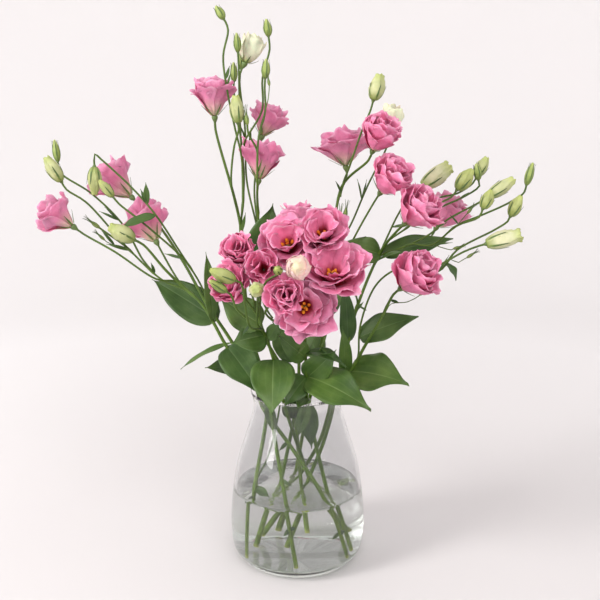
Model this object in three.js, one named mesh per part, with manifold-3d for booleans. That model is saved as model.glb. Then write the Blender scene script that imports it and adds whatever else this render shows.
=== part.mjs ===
// A bouquet of ten cut lisianthus stems standing in a clear glass vase with some water.
// Millimetres, +Z up. The origin is the middle of the vase's underside, on the table.
// The side that the bouquet shows best is turned towards -Y.

import * as THREE from "three";
import { mergeVertices } from "three/addons/utils/BufferGeometryUtils.js";
import Module from "manifold-3d";

const wasm = await Module();
wasm.setup();
const { Manifold, Mesh } = wasm;

// Driving dimensions of the vase and the water
const VASE_HEIGHT = 180;
const WALL = 2.5;
const FLOOR_THICKNESS = 9;
const FOOT_RADIUS = 50;
const FOOT_EDGE = 3;
const WATER_LEVEL = 76;
const VASE_SIDES = 26;
const WALL_STEPS = 7;
// Radius of the outside at each height, from the heel over the belly and neck to the rim
const OUTSIDE = [
  [60, 3], [67, 12], [69.8, 34], [68.8, 60], [62.6, 102],
  [53, 134], [46.4, 156], [45.3, 166], [48, VASE_HEIGHT - WALL / 2],
];

// Driving dimensions of the plants
const GAP = 0.3;
const STEM_RADIUS = 2.6;
const STEM_TOP_RADIUS = 1.3;
const SHOOT_RADIUS = 1.1;
const STEM_SIDES = 5;
const SHOOT_SIDES = 3;
const PETAL_THICKNESS = 0.7;
// Rows of a petal: its share of the way from root to rim, and of the room beside its neighbours
const PETAL_ROWS = [[0, 0], [0.5, 0.84], [1, 1.06]];
const LEAF_THICKNESS = 0.8;
const LEAF_FOLD = 0.16;
const NARROW_LEAF = 25;
const PETAL_LAP = 1.3;
const HEART_RADIUS = 3;
const HEART_HEIGHT = 9;
const HEART_SIDES = 5;
const HEART_WAIST = 4.5;
const ROOT_RADIUS = 1.2;
const ROOT_HEIGHT = 2.6;
const ROOT_STEP = 1.8;
const BUD_SIDES = 5;
const SEPALS = 5;
const SEPAL_REACH = 0.42;
const SEPAL_LIFT = 1.8;
const CALYX_RADIUS = 2;
const CALYX_DEPTH = 2;

// Each bloom: [form, foot, point that it looks towards, width, height, turn in degrees]
const BLOOMS = {
  bloom_left_low: ["cup", [-208, -40, 350], [-228, -40, 365], 36, 34, 10],
  bloom_left_high: ["cup", [-168, 34, 372], [-188, 39, 390], 44, 46, 0],
  bloom_left_near: ["cup", [-138, -4, 331], [-152, 8, 354], 45, 42, 30],
  bloom_top_left: ["cup", [-79, 0, 450], [-80, 0, 473], 42, 38, 18],
  bloom_top_back: ["cup", [-36, 30, 432], [-29, 34, 452], 38, 34, 40],
  bloom_top_right: ["cup", [-38, 2, 390], [-35, 8, 413], 44, 40, 5],
  bloom_right_flared: ["cup", [49, 34, 402], [45, 38, 425], 54, 36, 20],
  bloom_right_high: ["rose", [72, -5, 419], [80, -18, 440], 37, 39, 0],
  bloom_right_middle: ["rose", [79, -15, 380], [90, -27, 400], 39, 39, 25],
  bloom_right_front: ["rose", [101, -30, 352], [117, -44, 371], 43, 41, 50],
  bloom_right_back: ["rose", [142, 34, 341], [155, 36, 364], 42, 38, 0],
  bloom_right_low: ["rose", [96, -52, 294], [112, -68, 313], 46, 44, 15],
  bloom_cluster_left: ["rose", [-50, -62, 323], [-53, -80, 336], 31, 31, 0],
  bloom_cluster_lower_left: ["rose", [-53, -80, 297], [-59, -95, 307], 35, 31, 30],
  bloom_cluster_middle: ["open", [-30, -72, 315], [-30, -98, 321], 34, 34, 0],
  bloom_cluster_upper: ["open", [-7, -58, 330], [-10, -80, 345], 44, 34, 20],
  bloom_cluster_top: ["open", [24, -60, 340], [23, -83, 354], 42, 36, 0],
  bloom_cluster_back: ["open", [2, -20, 340], [-1, -12, 362], 33, 34, 10],
  bloom_cluster_right: ["open", [33, -78, 303], [33, -93, 324], 56, 36, 45],
  bloom_cluster_round: ["rose", [-9, -106, 298], [-10, -128, 303], 30, 30, 60],
  bloom_cluster_low: ["open", [7, -84, 285], [7, -110, 287], 51, 34, 30],
  half_open_cluster: ["half", [2, -110, 323], [-1, -128, 331], 22, 22, 0],
  half_open_top: ["half", [-52, 25, 502], [-44, 25, 519], 26, 30, 0],
  half_open_right: ["half", [92, 38, 434], [94, 38, 449], 25, 31, 40],
};

// Each bud: [foot, tip, width, whether it is pale enough to be told from its stalk]
const BUDS = {
  bud_left_end: [[-224, -20, 392], [-236, -22, 414], 13, true],
  bud_left_small: [[-232, 0, 410], [-234, 0, 430], 8, false],
  bud_left_hanging: [[-193, -15, 405], [-194, -15, 379], 13, true],
  bud_left_middle: [[-174, -27, 378], [-185, -30, 393], 9, true],
  bud_left_fat: [[-154, -35, 338], [-175, -40, 351], 16, true],
  bud_left_tiny: [[-191, -15, 347], [-199, -15, 353], 4, false],
  bud_top_highest: [[-68, -10, 540], [-75, -10, 551], 9, false],
  bud_top_end: [[-27, 0, 526], [-29, 0, 541], 9, false],
  bud_top_slim: [[-57, 12, 513], [-58, 12, 530], 8, false],
  bud_top_right: [[-30, -12, 487], [-29, -12, 504], 9, false],
  bud_top_middle: [[-63, 34, 487], [-63, 34, 505], 8, false],
  bud_top_pale: [[-55, -25, 446], [-57, -25, 470], 13, true],
  bud_top_tiny: [[-46, -32, 444], [-47, -32, 454], 4, false],
  bud_right_upper: [[73, 4, 468], [79, 4, 491], 15, true],
  bud_right_cream: [[126, 25, 385], [152, 25, 404], 18, true],
  bud_right_fat: [[156, 0, 383], [170, 0, 402], 15, true],
  bud_right_dark: [[178, 8, 392], [175, 8, 407], 9, false],
  bud_right_twin: [[180, 25, 395], [189, 25, 413], 12, true],
  bud_right_long: [[185, -8, 377], [208, -8, 393], 13, true],
  bud_right_round: [[175, -30, 367], [182, -30, 384], 12, true],
  bud_right_tip: [[226, 10, 387], [231, 10, 408], 9, false],
  bud_right_outer: [[204, -20, 359], [213, -20, 378], 12, true],
  bud_right_lowest: [[177, -42, 335], [207, -45, 344], 16, true],
  bud_cluster_left: [[-53, -118, 314], [-72, -127, 324], 12, true],
  bud_cluster_corner: [[-60, -122, 305], [-72, -134, 316], 9, false],
  bud_cluster_round: [[-34, -112, 304], [-34, -127, 308], 13, true],
  bud_cluster_small: [[-15, -119, 321], [-17, -130, 326], 9, false],
  bud_middle_tiny: [[41, -6, 352], [42, -6, 362], 5, false],
};

// Each stem: its shoots, as points from the cut end up, then its leaves.
// A later shoot starts on the nearest point of an earlier one, and a name ends it in that flower or bud.
// Each leaf: [point that it grows from, tip, width, arch, direction that its face looks in]
const STEMS = {
  stem_left_high: {
    shoots: [
      [[46, -30, 12], [27, -37, 76], [-3, -33, 125], [-36, -11, 166], [-41, -9, 181],
        [-63, -6, 226], [-92, 2, 270], [-116, 20, 308], [-143, 34, 345], "bloom_left_high"],
      [[-84, 0, 258], [-95, -6, 288], [-115, -14, 325], [-135, -22, 360], [-156, -18, 384],
        [-186, -15, 412], [-192, -15, 417], [-193, -15, 411], "bud_left_hanging"],
      [[-106, -12, 308], [-152, -28, 358], "bud_left_middle"],
    ],
    leaves: [
      [[-80, 0, 252], [-149, 22, 290], 38, 8, [-0.1, -0.8, 0.6]],
      [[-50, -9, 200], [-88, -50, 217], 27, 6, [0, -0.7, 0.7]],
      [[-66, -5, 230], [-118, -8, 203], 8, 9, [0, -0.4, 0.9]],
      [[-135, -22, 360], [-166, -38, 349], 10, 5, [0, -0.8, 0.6]],
      [[-143, -20, 370], [-143, -24, 391], 6, 2, [0.3, -1, 0]],
    ],
  },
  stem_left_low: {
    shoots: [
      [[-1, -50, 12], [-11, -48, 76], [-22, -36, 140], [-26, -27, 166], [-31, -27, 181],
        [-64, -34, 226], [-92, -28, 274], [-112, -24, 292], [-127, -29, 309], "bud_left_fat"],
      [[-106, -24, 287], "bloom_left_near"],
      [[-102, -26, 284], [-129, -26, 297], [-161, -22, 326], [-202, -18, 372], "bud_left_end"],
      [[-112, -24, 292], [-133, -40, 301], [-170, -46, 328], "bloom_left_low"],
      [[-140, -24, 306], [-169, -10, 349], [-201, 0, 379], "bud_left_small"],
      [[-161, -22, 326], "bud_left_tiny"],
    ],
    leaves: [
      [[-79, -31, 258], [-86, -40, 327], 14, 4, [0.5, -0.9, 0]],
      [[-64, -34, 236], [-33, -72, 196], 36, 8, [0.3, -0.9, 0.3]],
    ],
  },
  stem_top_left: {
    shoots: [
      [[-47, -31, 12], [-44, -26, 76], [-32, 0, 150], [-32, 10, 176],
        [-49, 14, 239], [-54, 12, 292], [-56, 9, 342], [-61, 4, 371], "bloom_top_left"],
      [[-55, 9, 342], [-53, 6, 372], [-54, -4, 416], [-59, -8, 440], [-66, -12, 478],
        [-69, -10, 507], [-64, -10, 530], "bud_top_highest"],
      [[-55, 9, 342], [-61, -4, 372], [-63, -16, 392], [-59, -22, 425], "bud_top_pale"],
      [[-55, 9, 342], [-53, 18, 392], [-56, 17, 440], "bud_top_slim"],
      [[-54, 14, 366], [-57, 34, 430], "bud_top_middle"],
      [[-42, -20, 82], [-30, -14, 112], [-22, 2, 140], [-18, 6, 162]],
    ],
    leaves: [
      [[-42, -22, 82], [-28, -32, 76], 9, 2, [0, -0.7, 0.7]],
    ],
  },
  stem_top_right: {
    shoots: [
      [[8, -14, 34], [-10, 31, 176], [-37, 22, 237], [-39, 18, 280], [-39, 12, 324],
        [-39, 6, 360], "bloom_top_right"],
      [[-39, 12, 330], [-44, 36, 380], [-41, 40, 410], "bloom_top_back"],
      [[-39, 6, 360], [-38, -20, 386], [-36, -24, 433], [-30, -15, 457], "bud_top_right"],
      [[-43, 38, 412], [-52, 8, 426], [-34, 4, 458], [-33, 0, 488], [-26, 0, 514], "bud_top_end"],
      [[-41, 18, 330], [-51, 27, 390], [-52, 27, 440], "half_open_top"],
      [[-37, -25, 411], "bud_top_tiny"],
    ],
    leaves: [
      [[-39, 16, 300], [-24, 4, 369], 40, 6, [0.1, -1, 0.2]],
    ],
  },
  stem_front_left: {
    shoots: [
      [[30, 40, 12], [-13, -34, 176], [-22, -50, 223], [-28, -58, 246], [-35, -64, 268],
        "bloom_cluster_middle"],
      [[-35, -64, 268], "bloom_cluster_left"],
      [[-33, -62, 262], "bloom_cluster_lower_left"],
      [[-30, -60, 250], [-36, -82, 268], "bud_cluster_round"],
      [[-28, -58, 246], [-42, -100, 270], [-45, -114, 294], "bud_cluster_left"],
      [[-42, -100, 272], [-52, -114, 288], "bud_cluster_corner"],
    ],
    leaves: [
      [[-29, -60, 252], [-60, -72, 247], 30, 5, [0, -0.9, 0.4]],
      [[-33, -62, 262], [-72, -60, 288], 32, 6, [-0.2, -0.9, 0.3]],
      [[-28, -58, 246], [-17, -86, 268], 14, 3, [0.4, -0.6, 0.7]],
      [[-22, -50, 226], [-23, -92, 184], 42, 10, [0, -0.9, 0.45]],
    ],
  },
  stem_front_right: {
    shoots: [
      [[45, -11, 12], [10, -37, 176], [9, -48, 208], [7, -62, 246], "bloom_cluster_low"],
      [[9, -48, 208], [24, -62, 243], "bloom_cluster_right"],
      [[7, -62, 246], [-16, -78, 266], [-28, -94, 282], "bloom_cluster_round"],
      [[7, -62, 246], [15, -68, 278], [16, -88, 306], "half_open_cluster"],
      [[-22, -86, 274], [-30, -104, 296], [-26, -112, 312], "bud_cluster_small"],
    ],
    leaves: [
      [[9, -48, 208], [68, -84, 186], 42, 12, [0.1, -0.7, 0.7]],
      [[9, -48, 208], [-12, -74, 186], 24, 6, [0, -0.8, 0.6]],
      [[8, -56, 228], [-18, -84, 258], 22, 5, [0, -0.9, 0.3]],
      [[8, -56, 234], [46, -64, 221], 14, 16, [0.1, -0.5, 0.9]],
      [[9, -48, 206], [36, -70, 240], 28, 4, [0.2, -0.9, 0.3]],
      [[10, -39, 184], [0, -68, 182], 13, 4, [0, -0.4, 0.9]],
      [[10, -35, 178], [14, -32, 128], 18, 1, [0.1, -1, 0.2]],
    ],
  },
  stem_middle: {
    shoots: [
      [[-31, 5, 12], [0, -6, 176], [1, -20, 240], [-1, -34, 290], "bloom_cluster_upper"],
      [[-1, -34, 290], "bloom_cluster_top"],
      [[0, -28, 268], "bloom_cluster_back"],
    ],
    leaves: [
      [[-4, -5, 150], [-4, -28, 192], 22, 4, [0, -1, 0.2]],
      [[0, -14, 214], [-24, -32, 258], 28, 4, [-0.3, -1, 0]],
      [[0, -14, 214], [14, 16, 260], 24, 5, [0.6, 0.7, 0.2]],
    ],
  },
  stem_back_right: {
    shoots: [
      [[-12, 48, 12], [15, 16, 176], [27, 12, 237], [33, 14, 270], [36, 18, 328], [45, 22, 385],
        "bloom_right_high"],
      [[43, 21, 374], "bloom_right_flared"],
      [[45, 22, 382], [50, 6, 402], [62, -3, 439], "bud_right_upper"],
      [[36, 18, 318], [51, 34, 338], [72, 38, 385], "half_open_right"],
      [[33, 14, 272], [56, 2, 335], "bloom_right_middle"],
    ],
    leaves: [
      [[22, 14, 210], [-2, 46, 262], 30, 6, [-0.3, 0.9, 0.2]],
      [[30, 13, 255], [40, 48, 300], 24, 5, [0.2, 0.9, 0.2]],
    ],
  },
  stem_right_upper: {
    shoots: [
      [[-24, 28, 14], [2, 20, 76], [24, 11, 120], [38, 6, 176], [47, 4, 206], [60, 4, 264],
        [82, 2, 320], "bloom_right_front"],
      [[82, 2, 320], [103, 16, 361], "bud_right_cream"],
      [[80, 2, 316], [104, 18, 325], "bloom_right_back"],
      [[84, 2, 322], [108, -2, 346], [131, -4, 366], "bud_right_fat"],
      [[108, -2, 346], [134, 4, 362], [165, 6, 376], "bud_right_dark"],
      [[128, -4, 363], [138, 2, 374], [160, 18, 378], "bud_right_twin"],
      [[78, 2, 312], [104, 0, 326], [129, -4, 339], [146, -7, 354], "bud_right_long"],
      [[106, 0, 327], [131, -12, 330], [152, -24, 350], "bud_right_round"],
      [[150, -23, 348], [174, -16, 358], [209, 0, 371], "bud_right_tip"],
      [[60, 4, 264], [52, -10, 290], [42, -8, 320], "bud_middle_tiny"],
    ],
    leaves: [
      [[83, 2, 319], [42, -8, 330], 26, 5, [0, -0.9, 0.4]],
      [[84, 2, 320], [158, 22, 332], 24, 6, [0, -0.8, 0.6]],
      [[78, 2, 312], [101, -24, 325], 13, 3, [0.2, -0.6, 0.8]],
      [[52, 4, 228], [46, -6, 292], 18, 4, [0.3, -1, 0]],
    ],
  },
  stem_right_lower: {
    shoots: [
      [[-8, 6, 12], [10, 2, 76], [27, -6, 125], [36, -12, 166], [37, -13, 183], [55, -16, 207],
        [66, -24, 231], [81, -38, 264], "bloom_right_low"],
      [[55, -16, 207], [62, -14, 248], [76, -14, 289], [93, -16, 305], [114, -16, 310],
        [137, -18, 305], [154, -20, 326], [190, -20, 346], "bud_right_outer"],
      [[120, -16, 309], [134, -28, 312], [158, -36, 327], "bud_right_lowest"],
    ],
    leaves: [
      [[52, -16, 203], [106, -56, 202], 46, 12, [0.1, -0.75, 0.65]],
      [[60, -15, 238], [118, -26, 262], 30, 6, [0, -0.7, 0.7]],
      [[50, -16, 196], [43, -38, 255], 16, 3, [0.5, -1, 0]],
      [[146, -18, 311], [152, -30, 297], 9, 14, [1, -0.3, 0.4]],
    ],
  },
};

// Petal layers of each form, from the outside in: [petals, first petal's angle, bend, rim, half width].
// Bend and rim are distances out and up as shares of the bloom's width and height.
const FORMS = {
  cup: [[5, 0, [0.29, 0.42], [0.48, 0.84], 0.31], [3, 40, [0.15, 0.55], [0.28, 0.96], 0.27]],
  rose: [[5, 0, [0.36, 0.26], [0.48, 0.68], 0.31], [3, 36, [0.2, 0.5], [0.31, 0.96], 0.32]],
  open: [[5, 0, [0.32, 0.4], [0.5, 0.74], 0.32], [3, 36, [0.17, 0.55], [0.3, 0.95], 0.27]],
  half: [[3, 0, [0.42, 0.4], [0.3, 0.97], 0.46], [2, 50, [0.12, 0.5], [0.1, 1], 0.24]],
};

const finish = (color, roughness, extra = {}) =>
  new THREE.MeshStandardMaterial({ color, roughness, metalness: 0, side: THREE.DoubleSide, ...extra });

const materials = {
  glass: finish("#dfe9e6", 0.05, { transparent: true, opacity: 0.3 }),
  water: finish("#dfeae2", 0.05, { transparent: true, opacity: 0.35 }),
  green: finish("#4f7a3a", 0.5),
  pink: finish("#e0709c", 0.6),
  cream: finish("#ece6cf", 0.6),
  bud: finish("#cfd99a", 0.55),
  orange: finish("#e08a12", 0.7),
};

const up = new THREE.Vector3(0, 0, 1);
const vector = (p) => new THREE.Vector3(...p);

// A closed surface from its corners and triangles, turned so that its faces point out
function solid(corners, triangles) {
  const geometry = new THREE.BufferGeometry().setFromPoints(corners);
  geometry.setIndex(triangles.flat());
  return solidOf(geometry);
}

function solidOf(source) {
  const bare = new THREE.BufferGeometry();
  bare.setAttribute("position", source.getAttribute("position"));
  bare.setIndex(source.getIndex());
  const merged = mergeVertices(bare, 1e-4);
  const triVerts = new Uint32Array(merged.getIndex().array);
  const vertProperties = new Float32Array(merged.getAttribute("position").array);
  const whole = new Manifold(new Mesh({ numProp: 3, vertProperties, triVerts }));
  if (whole.volume() > 0) return whole;
  for (let i = 0; i < triVerts.length; i += 3) {
    [triVerts[i], triVerts[i + 1]] = [triVerts[i + 1], triVerts[i]];
  }
  return new Manifold(new Mesh({ numProp: 3, vertProperties, triVerts }));
}

// A skin drawn over rings of corners, closed by a flat face at each end or by a single point
function loft(rings) {
  const corners = rings.flat();
  const starts = rings.map((ring, i) => rings.slice(0, i).flat().length);
  const triangles = [];
  for (let i = 0; i + 1 < rings.length; i++) {
    const count = rings[i].length;
    for (let j = 0; j < count; j++) {
      const a = starts[i] + j;
      const b = starts[i] + ((j + 1) % count);
      if (rings[i + 1].length === 1) {
        triangles.push([a, b, starts[i + 1]]);
      } else {
        const c = starts[i + 1] + ((j + 1) % count);
        const d = starts[i + 1] + j;
        triangles.push([a, b, c], [a, c, d]);
      }
    }
  }
  for (let j = 1; j + 1 < rings[0].length; j++) triangles.push([0, j + 1, j]);
  const last = starts[rings.length - 1];
  for (let j = 1; j + 1 < rings.at(-1).length; j++) triangles.push([last, last + j, last + j + 1]);
  return solid(corners, triangles);
}

// A round tube through the points, with a radius at each point. A last radius of 0 makes a tip.
function tube(points, radii, sides) {
  let side = new THREE.Vector3(0.3, 1, 0.1);
  const rings = points.map((point, i) => {
    const ahead = points[Math.min(i + 1, points.length - 1)];
    const along = ahead.clone().sub(points[Math.max(i - 1, 0)]).normalize();
    side = side.clone().addScaledVector(along, -side.dot(along)).normalize();
    const across = new THREE.Vector3().crossVectors(along, side);
    if (radii[i] === 0) return [point];
    return Array.from({ length: sides }, (_, j) => {
      const angle = (2 * Math.PI * j) / sides;
      return point.clone()
        .addScaledVector(side, radii[i] * Math.cos(angle))
        .addScaledVector(across, radii[i] * Math.sin(angle));
    });
  });
  return loft(rings);
}

// A thin blade on a grid of points, split into the same triangles on both of its faces.
// A row of one point brings the blade to a sharp tip.
function blade(rows, thickness) {
  const columns = Math.max(...rows.map((row) => row.length));
  const at = (i, j) => rows[i][Math.min(j, rows[i].length - 1)];
  const faces = [[], []];
  const corners = [];
  rows.forEach((row, i) => {
    faces.forEach((face) => face.push([]));
    row.forEach((point, j) => {
      if (row.length === 1) {
        faces.forEach((face) => face[i].push(corners.length));
        corners.push(point);
        return;
      }
      const across = row[Math.min(j + 1, columns - 1)].clone().sub(row[Math.max(j - 1, 0)]);
      const along = at(Math.min(i + 1, rows.length - 1), j).clone().sub(at(Math.max(i - 1, 0), j));
      const normal = across.cross(along).normalize();
      faces.forEach((face, side) => {
        face[i].push(corners.length);
        corners.push(point.clone().addScaledVector(normal, (side === 0 ? 0.5 : -0.5) * thickness));
      });
    });
  });
  const triangles = [];
  const both = (a, b, c) => {
    const pick = (face, [i, j]) => face[i][Math.min(j, face[i].length - 1)];
    triangles.push([pick(faces[0], a), pick(faces[0], b), pick(faces[0], c)]);
    triangles.push([pick(faces[1], a), pick(faces[1], c), pick(faces[1], b)]);
  };
  const edge = (a, b) => {
    const [fa, ka] = faces.map((face) => face[a[0]][a[1]]);
    const [fb, kb] = faces.map((face) => face[b[0]][b[1]]);
    if (fb !== kb) triangles.push([fa, fb, kb]);
    if (fa !== ka) triangles.push([fa, kb, ka]);
  };
  const end = rows.length - 1;
  for (let i = 0; i < end; i++) {
    for (let j = 0; j + 1 < columns; j++) {
      if (rows[i + 1].length > 1) both([i, j], [i + 1, j + 1], [i + 1, j]);
      if (rows[i].length > 1) both([i, j], [i, j + 1], [i + 1, j + 1]);
    }
    edge([i, 0], [i + 1, 0]);
    edge([i + 1, rows[i + 1].length - 1], [i, rows[i].length - 1]);
  }
  for (let j = 0; j + 1 < columns; j++) {
    if (rows[0].length > 1) edge([0, j + 1], [0, j]);
    if (rows[end].length > 1) edge([end, j], [end, j + 1]);
  }
  return solid(corners, triangles);
}

// A point on a bend that starts at the first of three points and ends at the last
const bend = (a, b, c, t) => (1 - t) * (1 - t) * a + 2 * t * (1 - t) * b + t * t * c;

// Places a shape that was made upright on the foot, looking along the axis
function placed(shape, foot, axis, turn) {
  const matrix = new THREE.Matrix4().compose(
    foot,
    new THREE.Quaternion().setFromUnitVectors(up, axis)
      .multiply(new THREE.Quaternion().setFromAxisAngle(up, THREE.MathUtils.degToRad(turn))),
    new THREE.Vector3(1, 1, 1),
  );
  return shape.transform(matrix.elements);
}

const blooms = Object.fromEntries(Object.entries(BLOOMS).map(([name, row]) => {
  const [form, foot, look, width, height, turn] = row;
  const axis = vector(look).sub(vector(foot)).normalize();
  return [name, { form, foot: vector(foot), axis, width, height, turn }];
}));

const buds = Object.fromEntries(Object.entries(BUDS).map(([name, row]) => {
  const [foot, tip, width, pale] = row;
  const axis = vector(tip).sub(vector(foot)).normalize();
  return [name, { foot: vector(foot), axis, width, height: vector(tip).distanceTo(vector(foot)), pale }];
}));

// One petal of an upright bloom. Its side edges lap over the next petal and under the one before.
function petal(bloom, layer, level, index, growth) {
  const [count, first, out, rim, half] = layer;
  const angle = THREE.MathUtils.degToRad(first) + (2 * Math.PI * index) / count;
  const halfWidth = half * bloom.width + growth;
  const rows = PETAL_ROWS.map(([share, room]) => (share === 0 ? [0] : [-1, 0, 1]).map((v) => {
    const t = share * (1 - 0.2 * v * v);
    const wave = 0.9 * share ** 3 * Math.sin(2.4 * index + 5 * v);
    const r = bend(ROOT_RADIUS, out[0] * bloom.width, rim[0] * bloom.width, t) + 0.4 * wave;
    const top = rim[1] * bloom.height + growth;
    const z = bend(ROOT_HEIGHT + ROOT_STEP * level, out[1] * bloom.height, top, t) + wave;
    const wide = halfWidth * Math.sin(0.25 + 1.5 * share ** 0.8);
    const roll = Math.max(r, 0.55 * halfWidth);
    const theta = (v * Math.min(wide, (room * Math.PI * r) / count + growth)) / roll;
    const radial = r - roll + roll * Math.cos(theta) + PETAL_LAP * v;
    return new THREE.Vector3(radial, roll * Math.sin(theta), z).applyAxisAngle(up, angle);
  }));
  return blade(rows, PETAL_THICKNESS + 2 * growth);
}

// The small pale heart that the petals grow from. In a closed bloom its tip reaches up between them.
function heart(bloom, growth) {
  const side = new THREE.Vector3(HEART_RADIUS + growth, 0, HEART_WAIST);
  const ring = Array.from({ length: HEART_SIDES }, (_, j) =>
    side.clone().applyAxisAngle(up, ((j + 0.5) * 2 * Math.PI) / HEART_SIDES));
  const height = bloom.form === "open" ? HEART_HEIGHT : 0.8 * bloom.height;
  const [foot, tip] = [new THREE.Vector3(0, 0, GAP), new THREE.Vector3(0, 0, height + growth)];
  const triangles = ring.flatMap((_, j) => [[j, (j + 1) % HEART_SIDES, HEART_SIDES + 1],
    [(j + 1) % HEART_SIDES, j, HEART_SIDES]]);
  return solid([...ring, foot, tip], triangles);
}

function bloomSolid(bloom, growth = 0) {
  const parts = [heart(bloom, growth)];
  FORMS[bloom.form].forEach((layer, level) => {
    for (let i = 0; i < layer[0]; i++) parts.push(petal(bloom, layer, level, i, growth));
  });
  return placed(Manifold.union(parts), bloom.foot, bloom.axis, bloom.turn);
}

// The orange anthers round the ovary of an open bloom
function stamensSolid(bloom, growth = 0) {
  const base = HEART_HEIGHT + 2 * GAP - growth;
  const ring = (radius, z) => Array.from({ length: 5 }, (_, j) =>
    new THREE.Vector3(radius + growth, 0, z).applyAxisAngle(up, (j * 2 * Math.PI) / 5));
  const parts = [loft([ring(1.2, base), ring(1.8, 13), [new THREE.Vector3(0, 0, 18 + growth)]])];
  for (let i = 0; i < 5; i++) {
    const turn = (i * 2 * Math.PI) / 5 + 0.6;
    const spots = [[1, 11.5], [3.2, 14], [4.4 + growth, 16]].map(([r, z]) =>
      new THREE.Vector3(r, 0, z).applyAxisAngle(up, turn));
    parts.push(tube(spots, [0.5 + growth, 1.2 + growth, 0], 3));
  }
  return placed(Manifold.union(parts), bloom.foot, bloom.axis, bloom.turn);
}

// How wide a bud is at each share of its height
const BUD_PROFILE = [[0.36, 0], [1, 0.36], [0.84, 0.68], [0.2, 1]];

function budSolid(bud, growth = 0) {
  const lift = bud.pale ? GAP : -1;
  const rings = BUD_PROFILE.map(([wide, high], i) => {
    const z = lift + high * (bud.height - lift) + (high === 1 ? growth : 0);
    const side = new THREE.Vector3((wide * bud.width) / 2 + growth, 0, z);
    return Array.from({ length: BUD_SIDES }, (_, j) =>
      side.clone().applyAxisAngle(up, (j * 2 * Math.PI) / BUD_SIDES + 0.2 * i));
  });
  return placed(loft(rings), bud.foot, bud.axis, 0);
}

// The green calyx under a bloom: a small cup that runs out into five narrow sepals
function calyx(bloom, growth) {
  const [, , out, rim] = FORMS[bloom.form][0];
  const reach = bend(ROOT_RADIUS, out[0] * bloom.width, rim[0] * bloom.width, SEPAL_REACH) + SEPAL_LIFT;
  const rise = bend(ROOT_HEIGHT, out[1] * bloom.height, rim[1] * bloom.height, SEPAL_REACH) - SEPAL_LIFT / 2;
  const ring = (radius, z, shift) => Array.from({ length: SEPALS }, (_, j) =>
    new THREE.Vector3(radius + growth, 0, z).applyAxisAngle(up, ((j + shift) * 2 * Math.PI) / SEPALS));
  const corners = [...ring(CALYX_RADIUS, -CALYX_DEPTH - growth, 0.5), ...ring(CALYX_RADIUS, growth, 0.5),
    ...ring(reach, rise + growth, 0), new THREE.Vector3(0, 0, growth)];
  const triangles = [[0, 2, 1], [0, 3, 2], [0, 4, 3]];
  const middle = 3 * SEPALS;
  for (let j = 0; j < SEPALS; j++) {
    const [low, high, tip] = [j, j + SEPALS, ((j + 1) % SEPALS) + 2 * SEPALS];
    const [nextLow, nextHigh] = [(j + 1) % SEPALS, ((j + 1) % SEPALS) + SEPALS];
    triangles.push([low, nextLow, tip], [low, tip, high], [nextLow, nextHigh, tip]);
    triangles.push([high, tip, middle], [tip, nextHigh, middle]);
  }
  return placed(solid(corners, triangles), bloom.foot, bloom.axis, bloom.turn);
}

// Where a shoot or leaf leaves the shoots before it: their nearest point and its direction
function nearest(paths, point) {
  let best = { distance: Infinity };
  for (const { points } of paths) {
    for (let i = 0; i + 1 < points.length; i++) {
      const piece = new THREE.Line3(points[i], points[i + 1]);
      const spot = piece.closestPointToPoint(point, true, new THREE.Vector3());
      const distance = spot.distanceTo(point);
      const along = points[i + 1].clone().sub(points[i]).normalize();
      if (distance < best.distance) best = { distance, spot, along };
    }
  }
  return best;
}

// The middle line of each shoot of a stem, with its radii
function route(stem) {
  const paths = [];
  stem.shoots.forEach((shoot, index) => {
    const flower = blooms[shoot.at(-1)] ?? buds[shoot.at(-1)];
    const points = shoot.filter((p) => Array.isArray(p)).map(vector);
    if (index > 0) {
      const start = nearest(paths, points[0]);
      points[0] = start.spot;
      const target = points[1] ?? flower.foot;
      const reach = Math.min(14, 0.3 * target.distanceTo(start.spot));
      const straight = target.clone().sub(start.spot).normalize();
      const lead = straight.multiplyScalar(0.8).add(start.along).normalize();
      points.splice(1, 0, start.spot.clone().addScaledVector(lead, reach));
    }
    if (flower) {
      const reach = Math.min(10, 0.3 * points.at(-1).distanceTo(flower.foot));
      points.push(flower.foot.clone().addScaledVector(flower.axis, -reach), flower.foot);
    }
    const stemRadius = (i) => bend(STEM_RADIUS, STEM_RADIUS, STEM_TOP_RADIUS, i / (points.length - 1));
    const radii = points.map((_, i) => (index === 0 ? stemRadius(i) : SHOOT_RADIUS));
    paths.push({ points, radii, sides: index === 0 ? STEM_SIDES : SHOOT_SIDES });
  });
  return paths;
}

const routes = Object.fromEntries(Object.entries(STEMS).map(([name, stem]) => [name, route(stem)]));

function stemSolid(name, growth = 0) {
  const parts = routes[name].map(({ points, radii, sides }) =>
    tube(points, radii.map((radius) => radius + growth), sides));
  for (const shoot of STEMS[name].shoots) {
    const bud = buds[shoot.at(-1)];
    if (bud && !bud.pale) parts.push(budSolid(bud, growth));
  }
  return Manifold.union(parts);
}

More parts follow.
